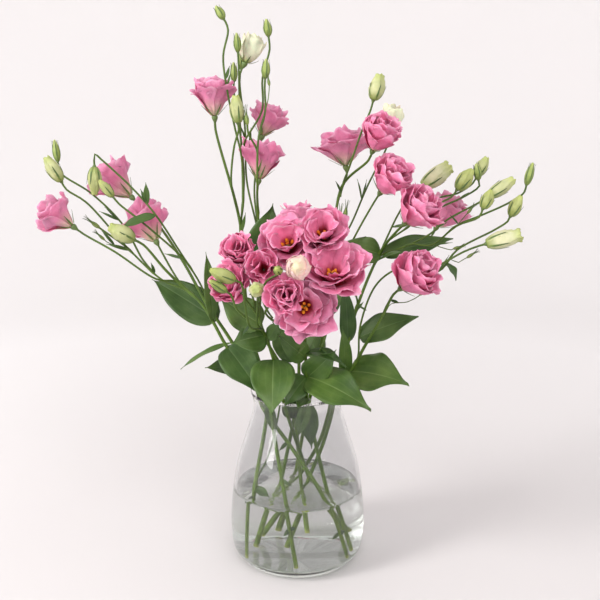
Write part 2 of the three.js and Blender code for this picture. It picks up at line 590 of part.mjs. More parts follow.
// One leaf: narrow at its foot, widest below the middle, arched, with its halves folded up a little
function leafSolid(name, leaf, growth) {
  const [from, tip, width, arch, look] = leaf;
  const start = nearest(routes[name], vector(from)).spot;
  const end = vector(tip);
  const along = end.clone().sub(start).normalize();
  const face = vector(look).addScaledVector(along, -vector(look).dot(along)).normalize();
  const across = new THREE.Vector3().crossVectors(along, face);
  const middle = start.clone().lerp(end, 0.5).addScaledVector(face, arch);
  end.addScaledVector(along, growth);
  const curve = new THREE.QuadraticBezierCurve3(start, middle, end);
  const rows = (width < NARROW_LEAF ? [0, 0.45, 1] : [0, 0.25, 0.5, 0.78, 1]).map((t, i) => {
    const centre = curve.getPoint(t);
    if (t === 0 || t === 1) return [centre];
    const half = (width / 2) * Math.sin(Math.PI * t ** 0.8) ** 0.9 + growth;
    const wave = (i === 2 ? 1 : -1) * 0.03 * width;
    const row = [-1, 1].map((v) => centre.clone()
      .addScaledVector(across, v * half)
      .addScaledVector(face, LEAF_FOLD * half + v * wave));
    return [row[0], centre, row[1]];
  });
  return blade(rows, LEAF_THICKNESS + 2 * growth);
}

function foliageSolid(name, growth = 0) {
  const parts = STEMS[name].leaves.map((leaf) => leafSolid(name, leaf, growth));
  for (const shoot of STEMS[name].shoots) {
    const bloom = blooms[shoot.at(-1)];
    if (bloom) parts.push(calyx(bloom, growth));
  }
  return Manifold.union(parts);
}

const touches = (a, b) => {
  const [p, q] = [a.boundingBox(), b.boundingBox()];
  return [0, 1, 2].every((k) => p.min[k] < q.max[k] && q.min[k] < p.max[k]);
};

const biggest = (shape) => shape.decompose().reduce((a, b) => (a.volume() >= b.volume() ? a : b));

// Where plants press against each other, the later one gives way to the ones before it
function givesWay(shape, others) {
  let kept = shape;
  for (const other of others) {
    if (touches(kept, other)) kept = kept.subtract(other);
  }
  return kept;
}

// The vase's wall at a distance inside its outer face, from the heel to the rim
function wallPoints(inset) {
  const curve = new THREE.SplineCurve(OUTSIDE.map(([r, z]) => new THREE.Vector2(r, z)));
  return Array.from({ length: WALL_STEPS + 1 }, (_, i) => {
    const t = i / WALL_STEPS;
    const along = curve.getTangent(t);
    return curve.getPoint(t).add(new THREE.Vector2(-along.y, along.x).multiplyScalar(inset));
  });
}

const turned = (profile) => solidOf(new THREE.LatheGeometry(profile, VASE_SIDES).rotateX(Math.PI / 2));

function vaseSolid() {
  const outer = wallPoints(0);
  const inner = wallPoints(WALL).filter((p) => p.y > FLOOR_THICKNESS + 4).reverse();
  const rimTop = outer.at(-1).clone().lerp(inner[0], 0.5);
  rimTop.y = VASE_HEIGHT;
  const floorEdge = new THREE.Vector2(inner.at(-1).x - FOOT_EDGE, FLOOR_THICKNESS);
  return turned([new THREE.Vector2(0, 0), new THREE.Vector2(FOOT_RADIUS, 0), ...outer, rimTop, ...inner,
    floorEdge, new THREE.Vector2(0, FLOOR_THICKNESS)]);
}

function waterSolid() {
  const side = wallPoints(WALL + GAP).filter((p) => p.y > FLOOR_THICKNESS + 4);
  const above = side.findIndex((p) => p.y > WATER_LEVEL);
  const [low, high] = [side[above - 1], side[above]];
  const top = low.clone().lerp(high, (WATER_LEVEL - low.y) / (high.y - low.y));
  const corner = new THREE.Vector2(side[0].x - FOOT_EDGE, FLOOR_THICKNESS + GAP);
  return turned([new THREE.Vector2(0, FLOOR_THICKNESS + GAP), corner, ...side.slice(0, above), top,
    new THREE.Vector2(0, WATER_LEVEL)]);
}

function mesh(name, shape, material) {
  const { numProp, vertProperties, triVerts } = shape.getMesh();
  const geometry = new THREE.BufferGeometry();
  geometry.setAttribute("position", new THREE.BufferAttribute(new Float32Array(vertProperties), numProp));
  geometry.setIndex(new THREE.BufferAttribute(new Uint32Array(triVerts), 1));
  const result = new THREE.Mesh(geometry, material);
  result.name = name;
  return result;
}

const bouquet = new THREE.Group();
const vase = vaseSolid();
bouquet.add(mesh("vase", vase, materials.glass));

const stemNames = Object.keys(STEMS);
const grownStems = Object.fromEntries(stemNames.map((name) => [name, stemSolid(name, GAP)]));
const grownFlowers = [];

const facingBlooms = ["upper", "top", "right", "low"].map((place) => `bloom_cluster_${place}`);
for (const name of facingBlooms) {
  const stamens = biggest(givesWay(stamensSolid(blooms[name]), Object.values(grownStems)));
  bouquet.add(mesh(name.replace("bloom", "stamens"), stamens, materials.orange));
  grownFlowers.push(stamensSolid(blooms[name], GAP));
}

for (const [name, bud] of Object.entries(buds)) {
  if (!bud.pale) continue;
  const shape = biggest(givesWay(budSolid(bud), [...Object.values(grownStems), ...grownFlowers]));
  bouquet.add(mesh(name, shape, materials.bud));
  grownFlowers.push(budSolid(bud, GAP));
}

for (const [name, bloom] of Object.entries(blooms)) {
  const shape = biggest(givesWay(bloomSolid(bloom), [...Object.values(grownStems), ...grownFlowers]));
  bouquet.add(mesh(name, shape, bloom.form === "half" ? materials.cream : materials.pink));
  grownFlowers.push(bloomSolid(bloom, GAP));
}

let water = waterSolid();
const grownFoliage = [];
for (const name of stemNames) {
  const others = stemNames.filter((other) => other !== name).map((other) => grownStems[other]);
  const foliage = givesWay(foliageSolid(name), [...others, ...grownFlowers, ...grownFoliage]);
  const stem = biggest(stemSolid(name).add(foliage));
  bouquet.add(mesh(name, stem, materials.green));
  const grown = foliageSolid(name, GAP);
  grownFoliage.push(grown);
  water = givesWay(water, [grownStems[name], grown]);
}
bouquet.add(mesh("water", biggest(water), materials.water));

export default bouquet;
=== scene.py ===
import math

import bpy
import numpy as np
from mathutils import Matrix, Vector


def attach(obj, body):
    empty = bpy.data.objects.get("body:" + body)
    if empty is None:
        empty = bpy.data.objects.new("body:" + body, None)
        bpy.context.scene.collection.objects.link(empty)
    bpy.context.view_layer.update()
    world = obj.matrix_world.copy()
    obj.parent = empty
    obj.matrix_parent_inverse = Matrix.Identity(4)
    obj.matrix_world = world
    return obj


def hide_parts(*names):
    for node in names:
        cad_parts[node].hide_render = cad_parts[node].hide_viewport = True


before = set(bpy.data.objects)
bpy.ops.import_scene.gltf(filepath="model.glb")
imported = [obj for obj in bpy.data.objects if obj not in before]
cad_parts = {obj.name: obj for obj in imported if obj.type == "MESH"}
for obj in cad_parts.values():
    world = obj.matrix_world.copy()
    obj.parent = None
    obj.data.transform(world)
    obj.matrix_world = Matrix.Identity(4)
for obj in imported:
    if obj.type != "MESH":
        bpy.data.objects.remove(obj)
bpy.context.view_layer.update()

# Camera and studio
# A portrait lens looks slightly down on the bouquet from its best side. The room is one pale sweep of
# paper that rises all round, with a large soft lamp from the front left and two weaker ones.
MM = 0.001
CAMERA_PLACE = Vector((2.6, -786.0, 431.4)) * MM
CAMERA_PITCH = math.radians(78.6)

camera = bpy.data.objects.new("camera", bpy.data.cameras.new("camera"))
camera.data.lens, camera.data.sensor_width, camera.data.clip_start = 48.0, 36.0, 0.01
camera.location = CAMERA_PLACE
camera.rotation_euler = (CAMERA_PITCH, 0.0, 0.0)
bpy.context.scene.collection.objects.link(camera)
bpy.context.scene.camera = camera
bpy.context.scene.view_settings.view_transform = "Standard"


def area_lamp(name, place, aim, size, power, color):
    lamp = bpy.data.objects.new(name, bpy.data.lights.new(name, "AREA"))
    lamp.data.shape = "RECTANGLE"
    lamp.data.size, lamp.data.size_y = size
    lamp.data.energy = power
    lamp.data.color = color
    lamp.location = place
    lamp.rotation_euler = (Vector(aim) - Vector(place)).to_track_quat("-Z", "Y").to_euler()
    bpy.context.scene.collection.objects.link(lamp)


area_lamp("window_lamp", (-2.0, -1.0, 1.7), (0.0, 0.2, 0.25), (0.7, 0.9), 40.0, (1.0, 0.985, 0.97))
area_lamp("low_pane", (-1.75, -1.15, 0.78), (0.0, 0.0, 0.12), (0.6, 0.8), 11.0, (1.0, 0.99, 0.98))
area_lamp("room_fill", (0.6, -2.1, 1.9), (0.0, 1.2, 0.5), (2.0, 1.6), 36.0, (1.0, 0.985, 0.99))

world = bpy.data.worlds.new("studio")
world.use_nodes = True
sky = world.node_tree.nodes["Background"].inputs
sky["Color"].default_value, sky["Strength"].default_value = (1.0, 0.985, 0.985, 1.0), 0.74
bpy.context.scene.world = world


def linked(source, socket):
    """Link an output to an input, or set the input to a plain value or colour."""
    if isinstance(source, bpy.types.NodeSocket):
        socket.id_data.links.new(source, socket)
    else:
        socket.default_value = (*source, 1.0) if socket.type == "RGBA" else source


def put(tree, kind, inputs=(), **settings):
    """The outputs of a new node with these settings, whose inputs, by name or number, are linked or set."""
    node = tree.nodes.new(kind)
    for name, value in settings.items():
        setattr(node, name, value)
    for key, source in dict(inputs).items():
        linked(source, node.inputs[key])
    return node.outputs


def sorted_color(factor, stops):
    """A colour ramp over a factor, from (place, colour) pairs."""
    ramp = factor.id_data.nodes.new("ShaderNodeValToRGB")
    elements = ramp.color_ramp.elements
    elements[0].position, elements[1].position = stops[0][0], stops[-1][0]
    for place, _ in stops[1:-1]:
        elements.new(place)
    for element, (_, color) in zip(elements, stops):
        element.color = (*color, 1.0)
    linked(factor, ramp.inputs["Fac"])
    return ramp.outputs["Color"]


def new_finish(name, values):
    """A material, its node tree and its Principled shader's inputs, which take the named values."""
    finish = bpy.data.materials.new(name)
    finish.use_nodes = True
    inputs = finish.node_tree.nodes["Principled BSDF"].inputs
    for label, value in values.items():
        inputs[label].default_value = value
    return finish, finish.node_tree, inputs


def new_piece(name, corners, faces, finish=None, edges=()):
    """A smooth mesh as an object in the scene."""
    mesh = bpy.data.meshes.new(name)
    mesh.from_pydata(corners, edges, faces)
    mesh.shade_smooth()
    if finish:
        mesh.materials.append(finish)
    piece = bpy.data.objects.new(name, mesh)
    bpy.context.scene.collection.objects.link(piece)
    return piece


def skin(name, rings, finish, capped=False):
    """A surface over rings of points, from low to high. A ring of one point is a pole."""
    turns = max(len(ring) for ring in rings)
    corners, loops, faces = [], [], []
    for ring in rings:
        loops.append([len(corners) + k % len(ring) for k in range(turns)])
        corners += [tuple(point) for point in ring]
    for low, high in zip(loops, loops[1:]):
        for k in range(turns):
            j = (k + 1) % turns
            faces.append(list(dict.fromkeys((low[k], low[j], high[j], high[k]))))
    if capped:
        faces += [loops[0][::-1], loops[-1]]
    return new_piece(name, corners, faces, finish)


def lathe(name, profile, turns, finish):
    """A surface of revolution from (radius, height) pairs in millimetres, with a pole at each radius 0."""
    angles = [2.0 * math.pi * k / turns for k in range(turns)]
    rings = [[(radius * MM * math.cos(a), radius * MM * math.sin(a), height * MM)
              for a in (angles if radius else [0.0])] for radius, height in profile]
    return skin(name, rings, finish)


PAPER_FLAT, PAPER_RISE, PAPER_TOP = 1300.0, 1300.0, 3200.0
PAPER_TURNS, PAPER_STEPS = 96, 12
sweep = [(0.0, 0.0), (PAPER_FLAT, 0.0)]
for angle in np.linspace(0.0, math.pi / 2, PAPER_STEPS + 1)[1:]:
    sweep.append((PAPER_FLAT + PAPER_RISE * math.sin(angle), PAPER_RISE * (1.0 - math.cos(angle))))
# The paper's colour is darker towards the middle of the floor and paler out to the rise. This is painted
# shade that tones down the lamps' stronger light on the near floor.
paper_finish, tree, inputs = new_finish("paper sweep", {"Roughness": 0.85})
place = put(tree, "ShaderNodeTexCoord")["Object"]
reach = put(tree, "ShaderNodeVectorMath", {0: place}, operation="LENGTH")["Value"]
linked(sorted_color(reach, [(0.3, (0.655, 0.632, 0.632)), (1.0, (0.772, 0.754, 0.755))]),
       inputs["Base Color"])
lathe("paper_sweep", [*sweep, (PAPER_FLAT + PAPER_RISE, PAPER_TOP)], PAPER_TURNS, paper_finish)


# Vase
# One blown piece of clear glass with a heavy foot, a round belly, a narrow neck and a flared rim that
# was fire-polished round. It stands free and holds the water and the cut stems.
VASE_HEIGHT = 180.0
WALL = 2.5
FLOOR_THICKNESS = 9.0
FOOT_RADIUS = 50.0
OUTSIDE = [(60, 3), (67, 12), (69.8, 34), (68.8, 60), (62.6, 102), (53, 134), (46.4, 156), (45.3, 166),
           (48, VASE_HEIGHT - WALL / 2)]
RIM_WALL = 1.7
RIM_START = 130.0
LIP_ANGLES = (0.35, 2.8, 9)
VASE_TURNS = 128
# Rays are followed through this many bends, fewer above this share of the vase's height.
BENDS = 6.5
DRY_BENDS = 4.5
DRY_SHARE = 0.52
# The glass's colour by share of its height. The grey tint on the body is painted shade for the darker
# surroundings that glass shows. The darker green at the foot is a painted reflection of the stems. The rim is
# left clear.
GLASS_PAINTED_SHADE = [(0.02, (0.72, 0.77, 0.72)), (0.1, (0.81, 0.815, 0.82)), (0.92, (0.81, 0.815, 0.82)),
               (0.95, (1.0, 1.0, 1.0))]


def through(points, step):
    """A smooth path through the points (centripetal Catmull-Rom), sampled about every step."""
    points = [np.array(p, dtype=float) for p in points]
    if len(points) == 2:
        count = max(2, round(np.linalg.norm(points[1] - points[0]) / step))
        return [points[0] + (points[1] - points[0]) * k / count for k in range(count + 1)]
    padded = [2 * points[0] - points[1]] + points + [2 * points[-1] - points[-2]]
    path = [points[0]]
    for a, b, c, d in zip(padded, padded[1:], padded[2:], padded[3:]):
        gaps = [max(np.linalg.norm(q - p) ** 0.5, 1e-4) for p, q in ((a, b), (b, c), (c, d))]
        leave = (b - a) / gaps[0] - (c - a) / (gaps[0] + gaps[1]) + (c - b) / gaps[1]
        arrive = (c - b) / gaps[1] - (d - b) / (gaps[1] + gaps[2]) + (d - c) / gaps[2]
        count = max(1, round(np.linalg.norm(c - b) / step))
        for k in range(1, count + 1):
            t = k / count
            path.append((2 * t**3 - 3 * t**2 + 1) * b + (t**3 - 2 * t**2 + t) * gaps[1] * leave
                        + (3 * t**2 - 2 * t**3) * c + (t**3 - t**2) * gaps[1] * arrive)
    return path


def wall_line(inset, rim_inset=None):
    """The vase's wall at a distance inside its outer face, as (radius, height), from the heel up."""
    line = np.array(through(OUTSIDE, 3.0))
    slope = np.gradient(line, axis=0)
    slope /= np.linalg.norm(slope, axis=1)[:, None]
    thinning = np.clip((line[:, 1] - RIM_START) / (VASE_HEIGHT - RIM_START), 0.0, 1.0)
    depth = inset + ((rim_inset or inset) - inset) * thinning
    return line + depth[:, None] * np.stack([-slope[:, 1], slope[:, 0]], axis=1)


def floor_line(corner, level):
    """From the foot of the inner wall round its corner and along the floor to the middle."""
    out, up = corner
    return [(out - 0.7, up - 3.4), (out - 2.6, up - 6.0), (out - 7, level + 0.5), (out - 13, level),
            (20.0, level), (0.0, level)]


def vase_profile():
    outer = [tuple(p) for p in wall_line(0.0)]
    inner = [tuple(p) for p in wall_line(WALL, RIM_WALL)[::-1] if p[1] > FLOOR_THICKNESS + 8]
    heel = [(FOOT_RADIUS, 0.0), (54.5, 0.35), (58, 1.4)]
    (a, b), (c, d) = outer[-1], inner[0]
    bead = np.hypot(a - c, b - d) / 2
    lip = [((a + c) / 2 + bead * math.cos(angle), b + bead * math.sin(angle))
           for angle in np.linspace(*LIP_ANGLES)]
    return [(0.0, 0.0), *heel, *outer, *lip, *inner, *floor_line(inner[-1], FLOOR_THICKNESS)]


def tree_of(values):
    """The node tree of the first socket among some values."""
    return next(value.id_data for value in values if isinstance(value, bpy.types.NodeSocket))


def worked(operation, *values):
    """A sum on numbers and sockets."""
    return put(tree_of(values), "ShaderNodeMath", enumerate(values), operation=operation)["Value"]


def mixed(factor, a, b, blend_type="MIX"):
    """One colour over another, by a factor."""
    tree = tree_of((factor, a, b))
    return put(tree, "ShaderNodeMix", {0: factor, 6: a, 7: b}, data_type="RGBA", blend_type=blend_type)[2]


def clear_finish(name, tints_and_painted_shade, ior, shade):
    """Clear matter that bends light, tinted by (share of the vase's height, colour); on the glass this tint
    is painted shade.

    Shadow rays, and rays that were bent often, go straight through it."""
    finish, tree, inputs = new_finish(name, {"Roughness": 0.0, "IOR": ior, "Transmission Weight": 1.0})
    place = put(tree, "ShaderNodeTexCoord")["Object"]
    share = worked("DIVIDE", put(tree, "ShaderNodeSeparateXYZ", {"Vector": place})["Z"], VASE_HEIGHT * MM)
    linked(sorted_color(share, tints_and_painted_shade), inputs["Base Color"])
    ray = put(tree, "ShaderNodeLightPath")
    dry = worked("GREATER_THAN", share, DRY_SHARE)
    bends = put(tree, "ShaderNodeMix", {0: dry, 2: BENDS, 3: DRY_BENDS})[0]
    often = worked("GREATER_THAN", ray["Ray Depth"], bends)
    straight = worked("MAXIMUM", ray["Is Shadow Ray"], often)
    kept = mixed(ray["Is Shadow Ray"], (0.98, 0.985, 0.98), shade)
    passing = put(tree, "ShaderNodeBsdfTransparent", {"Color": kept})["BSDF"]
    bending = tree.nodes["Principled BSDF"].outputs["BSDF"]
    mix = put(tree, "ShaderNodeMixShader", {0: straight, 1: bending, 2: passing})["Shader"]
    linked(mix, tree.nodes["Material Output"].inputs["Surface"])
    return finish


vase = lathe("blown_vase", vase_profile(), VASE_TURNS,
             clear_finish("clear glass", GLASS_PAINTED_SHADE, 1.4, (0.35, 0.355, 0.365)))
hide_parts("vase")
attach(vase, "root")


# Water
# Tap water up to two fifths of the vase. It wets the glass, so it reaches just into the wall and its
# surface climbs a little where it meets the glass.
WATER_LEVEL = 76.0
WETTING = 0.15
MENISCUS = 1.4
RIPPLE_DEPTH = 1.6
WATER_TINTS = [(0.1, (0.955, 0.985, 0.955)), (0.4, (0.99, 1.0, 0.99))]


def water_profile():
    side = [tuple(p) for p in wall_line(WALL - WETTING) if FLOOR_THICKNESS + 8 < p[1] < WATER_LEVEL]
    bottom = floor_line(side[0], FLOOR_THICKNESS - WETTING)[::-1]
    edge = side[-1][0]
    climb = [(edge - 0.1, WATER_LEVEL + MENISCUS), (edge - 0.6, WATER_LEVEL + 0.6 * MENISCUS),
             (edge - 1.5, WATER_LEVEL + 0.25 * MENISCUS), (edge - 3.2, WATER_LEVEL), (20.0, WATER_LEVEL)]
    return [*bottom, *side, *climb, (0.0, WATER_LEVEL)]


def bumped(height, depth, strength):
    """A height as a bump on the finish that it belongs to."""
    tree = height.id_data
    bump = put(tree, "ShaderNodeBump", {"Strength": strength, "Distance": depth, "Height": height})["Normal"]
    linked(bump, tree.nodes["Principled BSDF"].inputs["Normal"])


def water_finish():
    """Clear water whose open surface is never quite still."""
    finish = clear_finish("clear water", WATER_TINTS, 1.33, (0.9, 0.91, 0.9))
    tree = finish.node_tree
    place = put(tree, "ShaderNodeTexCoord")["Object"]
    height = put(tree, "ShaderNodeSeparateXYZ", {"Vector": place})["Z"]
    surface = worked("GREATER_THAN", height, (WATER_LEVEL - 0.5) * MM)
    waves = put(tree, "ShaderNodeTexNoise",
                {"Vector": place, "Scale": 75.0, "Detail": 2.0, "Distortion": 0.6})["Fac"]
    bumped(worked("MULTIPLY", waves, surface), RIPPLE_DEPTH * MM, 1.0)
    return finish


water = lathe("vase_water", water_profile(), VASE_TURNS, water_finish())
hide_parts("water")
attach(water, "root")


# Stems
# Ten cut lisianthus stems, smooth, round and grey-green. Each forks into thin shoots that end in a
# flower or a bud. They lean crossed in the water and against the inside of the neck.
#
# Each bloom: form, foot, point that it looks towards, width, height and turn in degrees.
BLOOMS = {
    "bloom_left_low": ("cup", (-208, -40, 350), (-228, -40, 365), 36, 34, 10),
    "bloom_left_high": ("cup", (-168, 34, 372), (-188, 39, 390), 44, 46, 0),
    "bloom_left_near": ("cup", (-138, -4, 331), (-152, 8, 354), 45, 42, 30),
    "bloom_top_left": ("cup", (-79, 0, 450), (-80, 0, 473), 42, 38, 18),
    "bloom_top_back": ("cup", (-36, 30, 432), (-29, 34, 452), 38, 34, 40),
    "bloom_top_right": ("cup", (-38, 2, 390), (-35, 8, 413), 44, 40, 5),
    "bloom_right_flared": ("cup", (49, 34, 402), (45, 38, 425), 54, 36, 20),
    "bloom_right_high": ("rose", (72, -5, 419), (80, -18, 440), 37, 39, 0),
    "bloom_right_middle": ("rose", (79, -15, 380), (90, -27, 400), 39, 39, 25),
    "bloom_right_front": ("rose", (101, -30, 352), (117, -44, 371), 43, 41, 50),
    "bloom_right_back": ("rose", (142, 34, 341), (155, 36, 364), 42, 38, 0),
    "bloom_right_low": ("rose", (96, -52, 294), (112, -68, 313), 46, 44, 15),
    "bloom_cluster_left": ("rose", (-50, -62, 323), (-53, -80, 336), 31, 31, 0),
    "bloom_cluster_lower_left": ("rose", (-53, -80, 297), (-59, -95, 307), 35, 31, 30),
    "bloom_cluster_middle": ("open", (-30, -72, 315), (-30, -98, 321), 34, 34, 0),
    "bloom_cluster_upper": ("open", (-7, -58, 330), (-10, -80, 345), 48, 34, 20),
    "bloom_cluster_top": ("open", (24, -60, 340), (23, -83, 354), 42, 36, 0),
    "bloom_cluster_back": ("open", (2, -20, 340), (-1, -12, 362), 33, 34, 10),
    "bloom_cluster_right": ("open", (32, -78, 303), (31, -94, 324), 60, 37, 45),
    "bloom_cluster_round": ("rose", (-9, -106, 298), (-10, -128, 303), 30, 30, 60),
    "bloom_cluster_low": ("open", (7, -84, 285), (7, -110, 287), 53, 34, 30),
    "half_open_cluster": ("ball", (3, -108, 321), (0, -128, 327), 27, 25, 0),
    "half_open_top": ("half", (-52, 25, 502), (-44, 25, 519), 26, 30, 0),
    "half_open_right": ("half", (92, 38, 434), (94, 38, 449), 25, 31, 40),
}

# Each bud: foot, tip, width, and whether it is pale and showing its petals.
BUDS = {
    "bud_left_end": ((-224, -20, 392), (-236, -22, 414), 13, True),
    "bud_left_small": ((-232, 0, 410), (-234, 0, 430), 8, False),
    "bud_left_hanging": ((-193, -15, 405), (-194, -15, 379), 13, True),
    "bud_left_middle": ((-174, -27, 378), (-185, -30, 393), 9, True),
    "bud_left_fat": ((-154, -35, 338), (-175, -40, 351), 16, True),
    "bud_left_tiny": ((-191, -15, 347), (-199, -15, 353), 4, False),
    "bud_top_highest": ((-68, -10, 540), (-75, -10, 551), 9, False),
    "bud_top_end": ((-27, 0, 526), (-29, 0, 541), 9, False),
    "bud_top_slim": ((-57, 12, 513), (-58, 12, 530), 8, False),
    "bud_top_right": ((-30, -12, 487), (-29, -12, 504), 9, False),
    "bud_top_middle": ((-63, 34, 487), (-63, 34, 505), 8, False),
    "bud_top_pale": ((-55, -25, 446), (-57, -25, 470), 13, True),
    "bud_top_tiny": ((-46, -32, 444), (-47, -32, 454), 4, False),
    "bud_right_upper": ((73, 4, 468), (79, 4, 491), 15, True),
    "bud_right_cream": ((126, 25, 385), (152, 25, 404), 18, True),
    "bud_right_fat": ((156, 0, 383), (170, 0, 402), 15, True),
    "bud_right_dark": ((178, 8, 392), (175, 8, 407), 9, False),
    "bud_right_twin": ((180, 25, 395), (189, 25, 413), 12, True),
    "bud_right_long": ((185, -8, 377), (208, -8, 393), 13, True),
    "bud_right_round": ((175, -30, 367), (182, -30, 384), 12, True),
    "bud_right_tip": ((226, 10, 387), (231, 10, 408), 9, False),
    "bud_right_outer": ((204, -20, 359), (213, -20, 378), 12, True),
    "bud_right_lowest": ((177, -42, 335), (207, -45, 344), 16, True),
    "bud_cluster_left": ((-53, -118, 314), (-72, -127, 324), 12, True),
    "bud_cluster_corner": ((-60, -122, 305), (-72, -134, 316), 9, False),
    "bud_cluster_round": ((-34, -112, 304), (-34, -127, 308), 13, True),
    "bud_cluster_small": ((-15, -119, 321), (-17, -130, 326), 9, False),
    "bud_middle_tiny": ((41, -6, 352), (42, -6, 362), 5, False),
    "bud_top_hidden": ((-56, 34, 500), (-56, 34, 515), 7, False),
    "tiny_left_low": ((-184, -27, 337), (-189, -28, 342), 2.4, False),
    "tiny_top_right": ((-26, -17, 480), (-27, -17, 486), 2.4, False),
    "tiny_middle": ((46, -4, 355), (47.5, -5, 365), 4.4, False),
    "tiny_right_high": ((164, -14, 361), (168, -14, 366), 2.6, False),
    "tiny_right_middle": ((151, -18, 327), (157, -18, 329), 2.6, False),
    "tiny_right_low": ((164, -21, 319), (170, -21, 323), 2.8, False),
    "tiny_right_lowest": ((117, -36, 285), (121, -37, 288), 2.2, False),
}

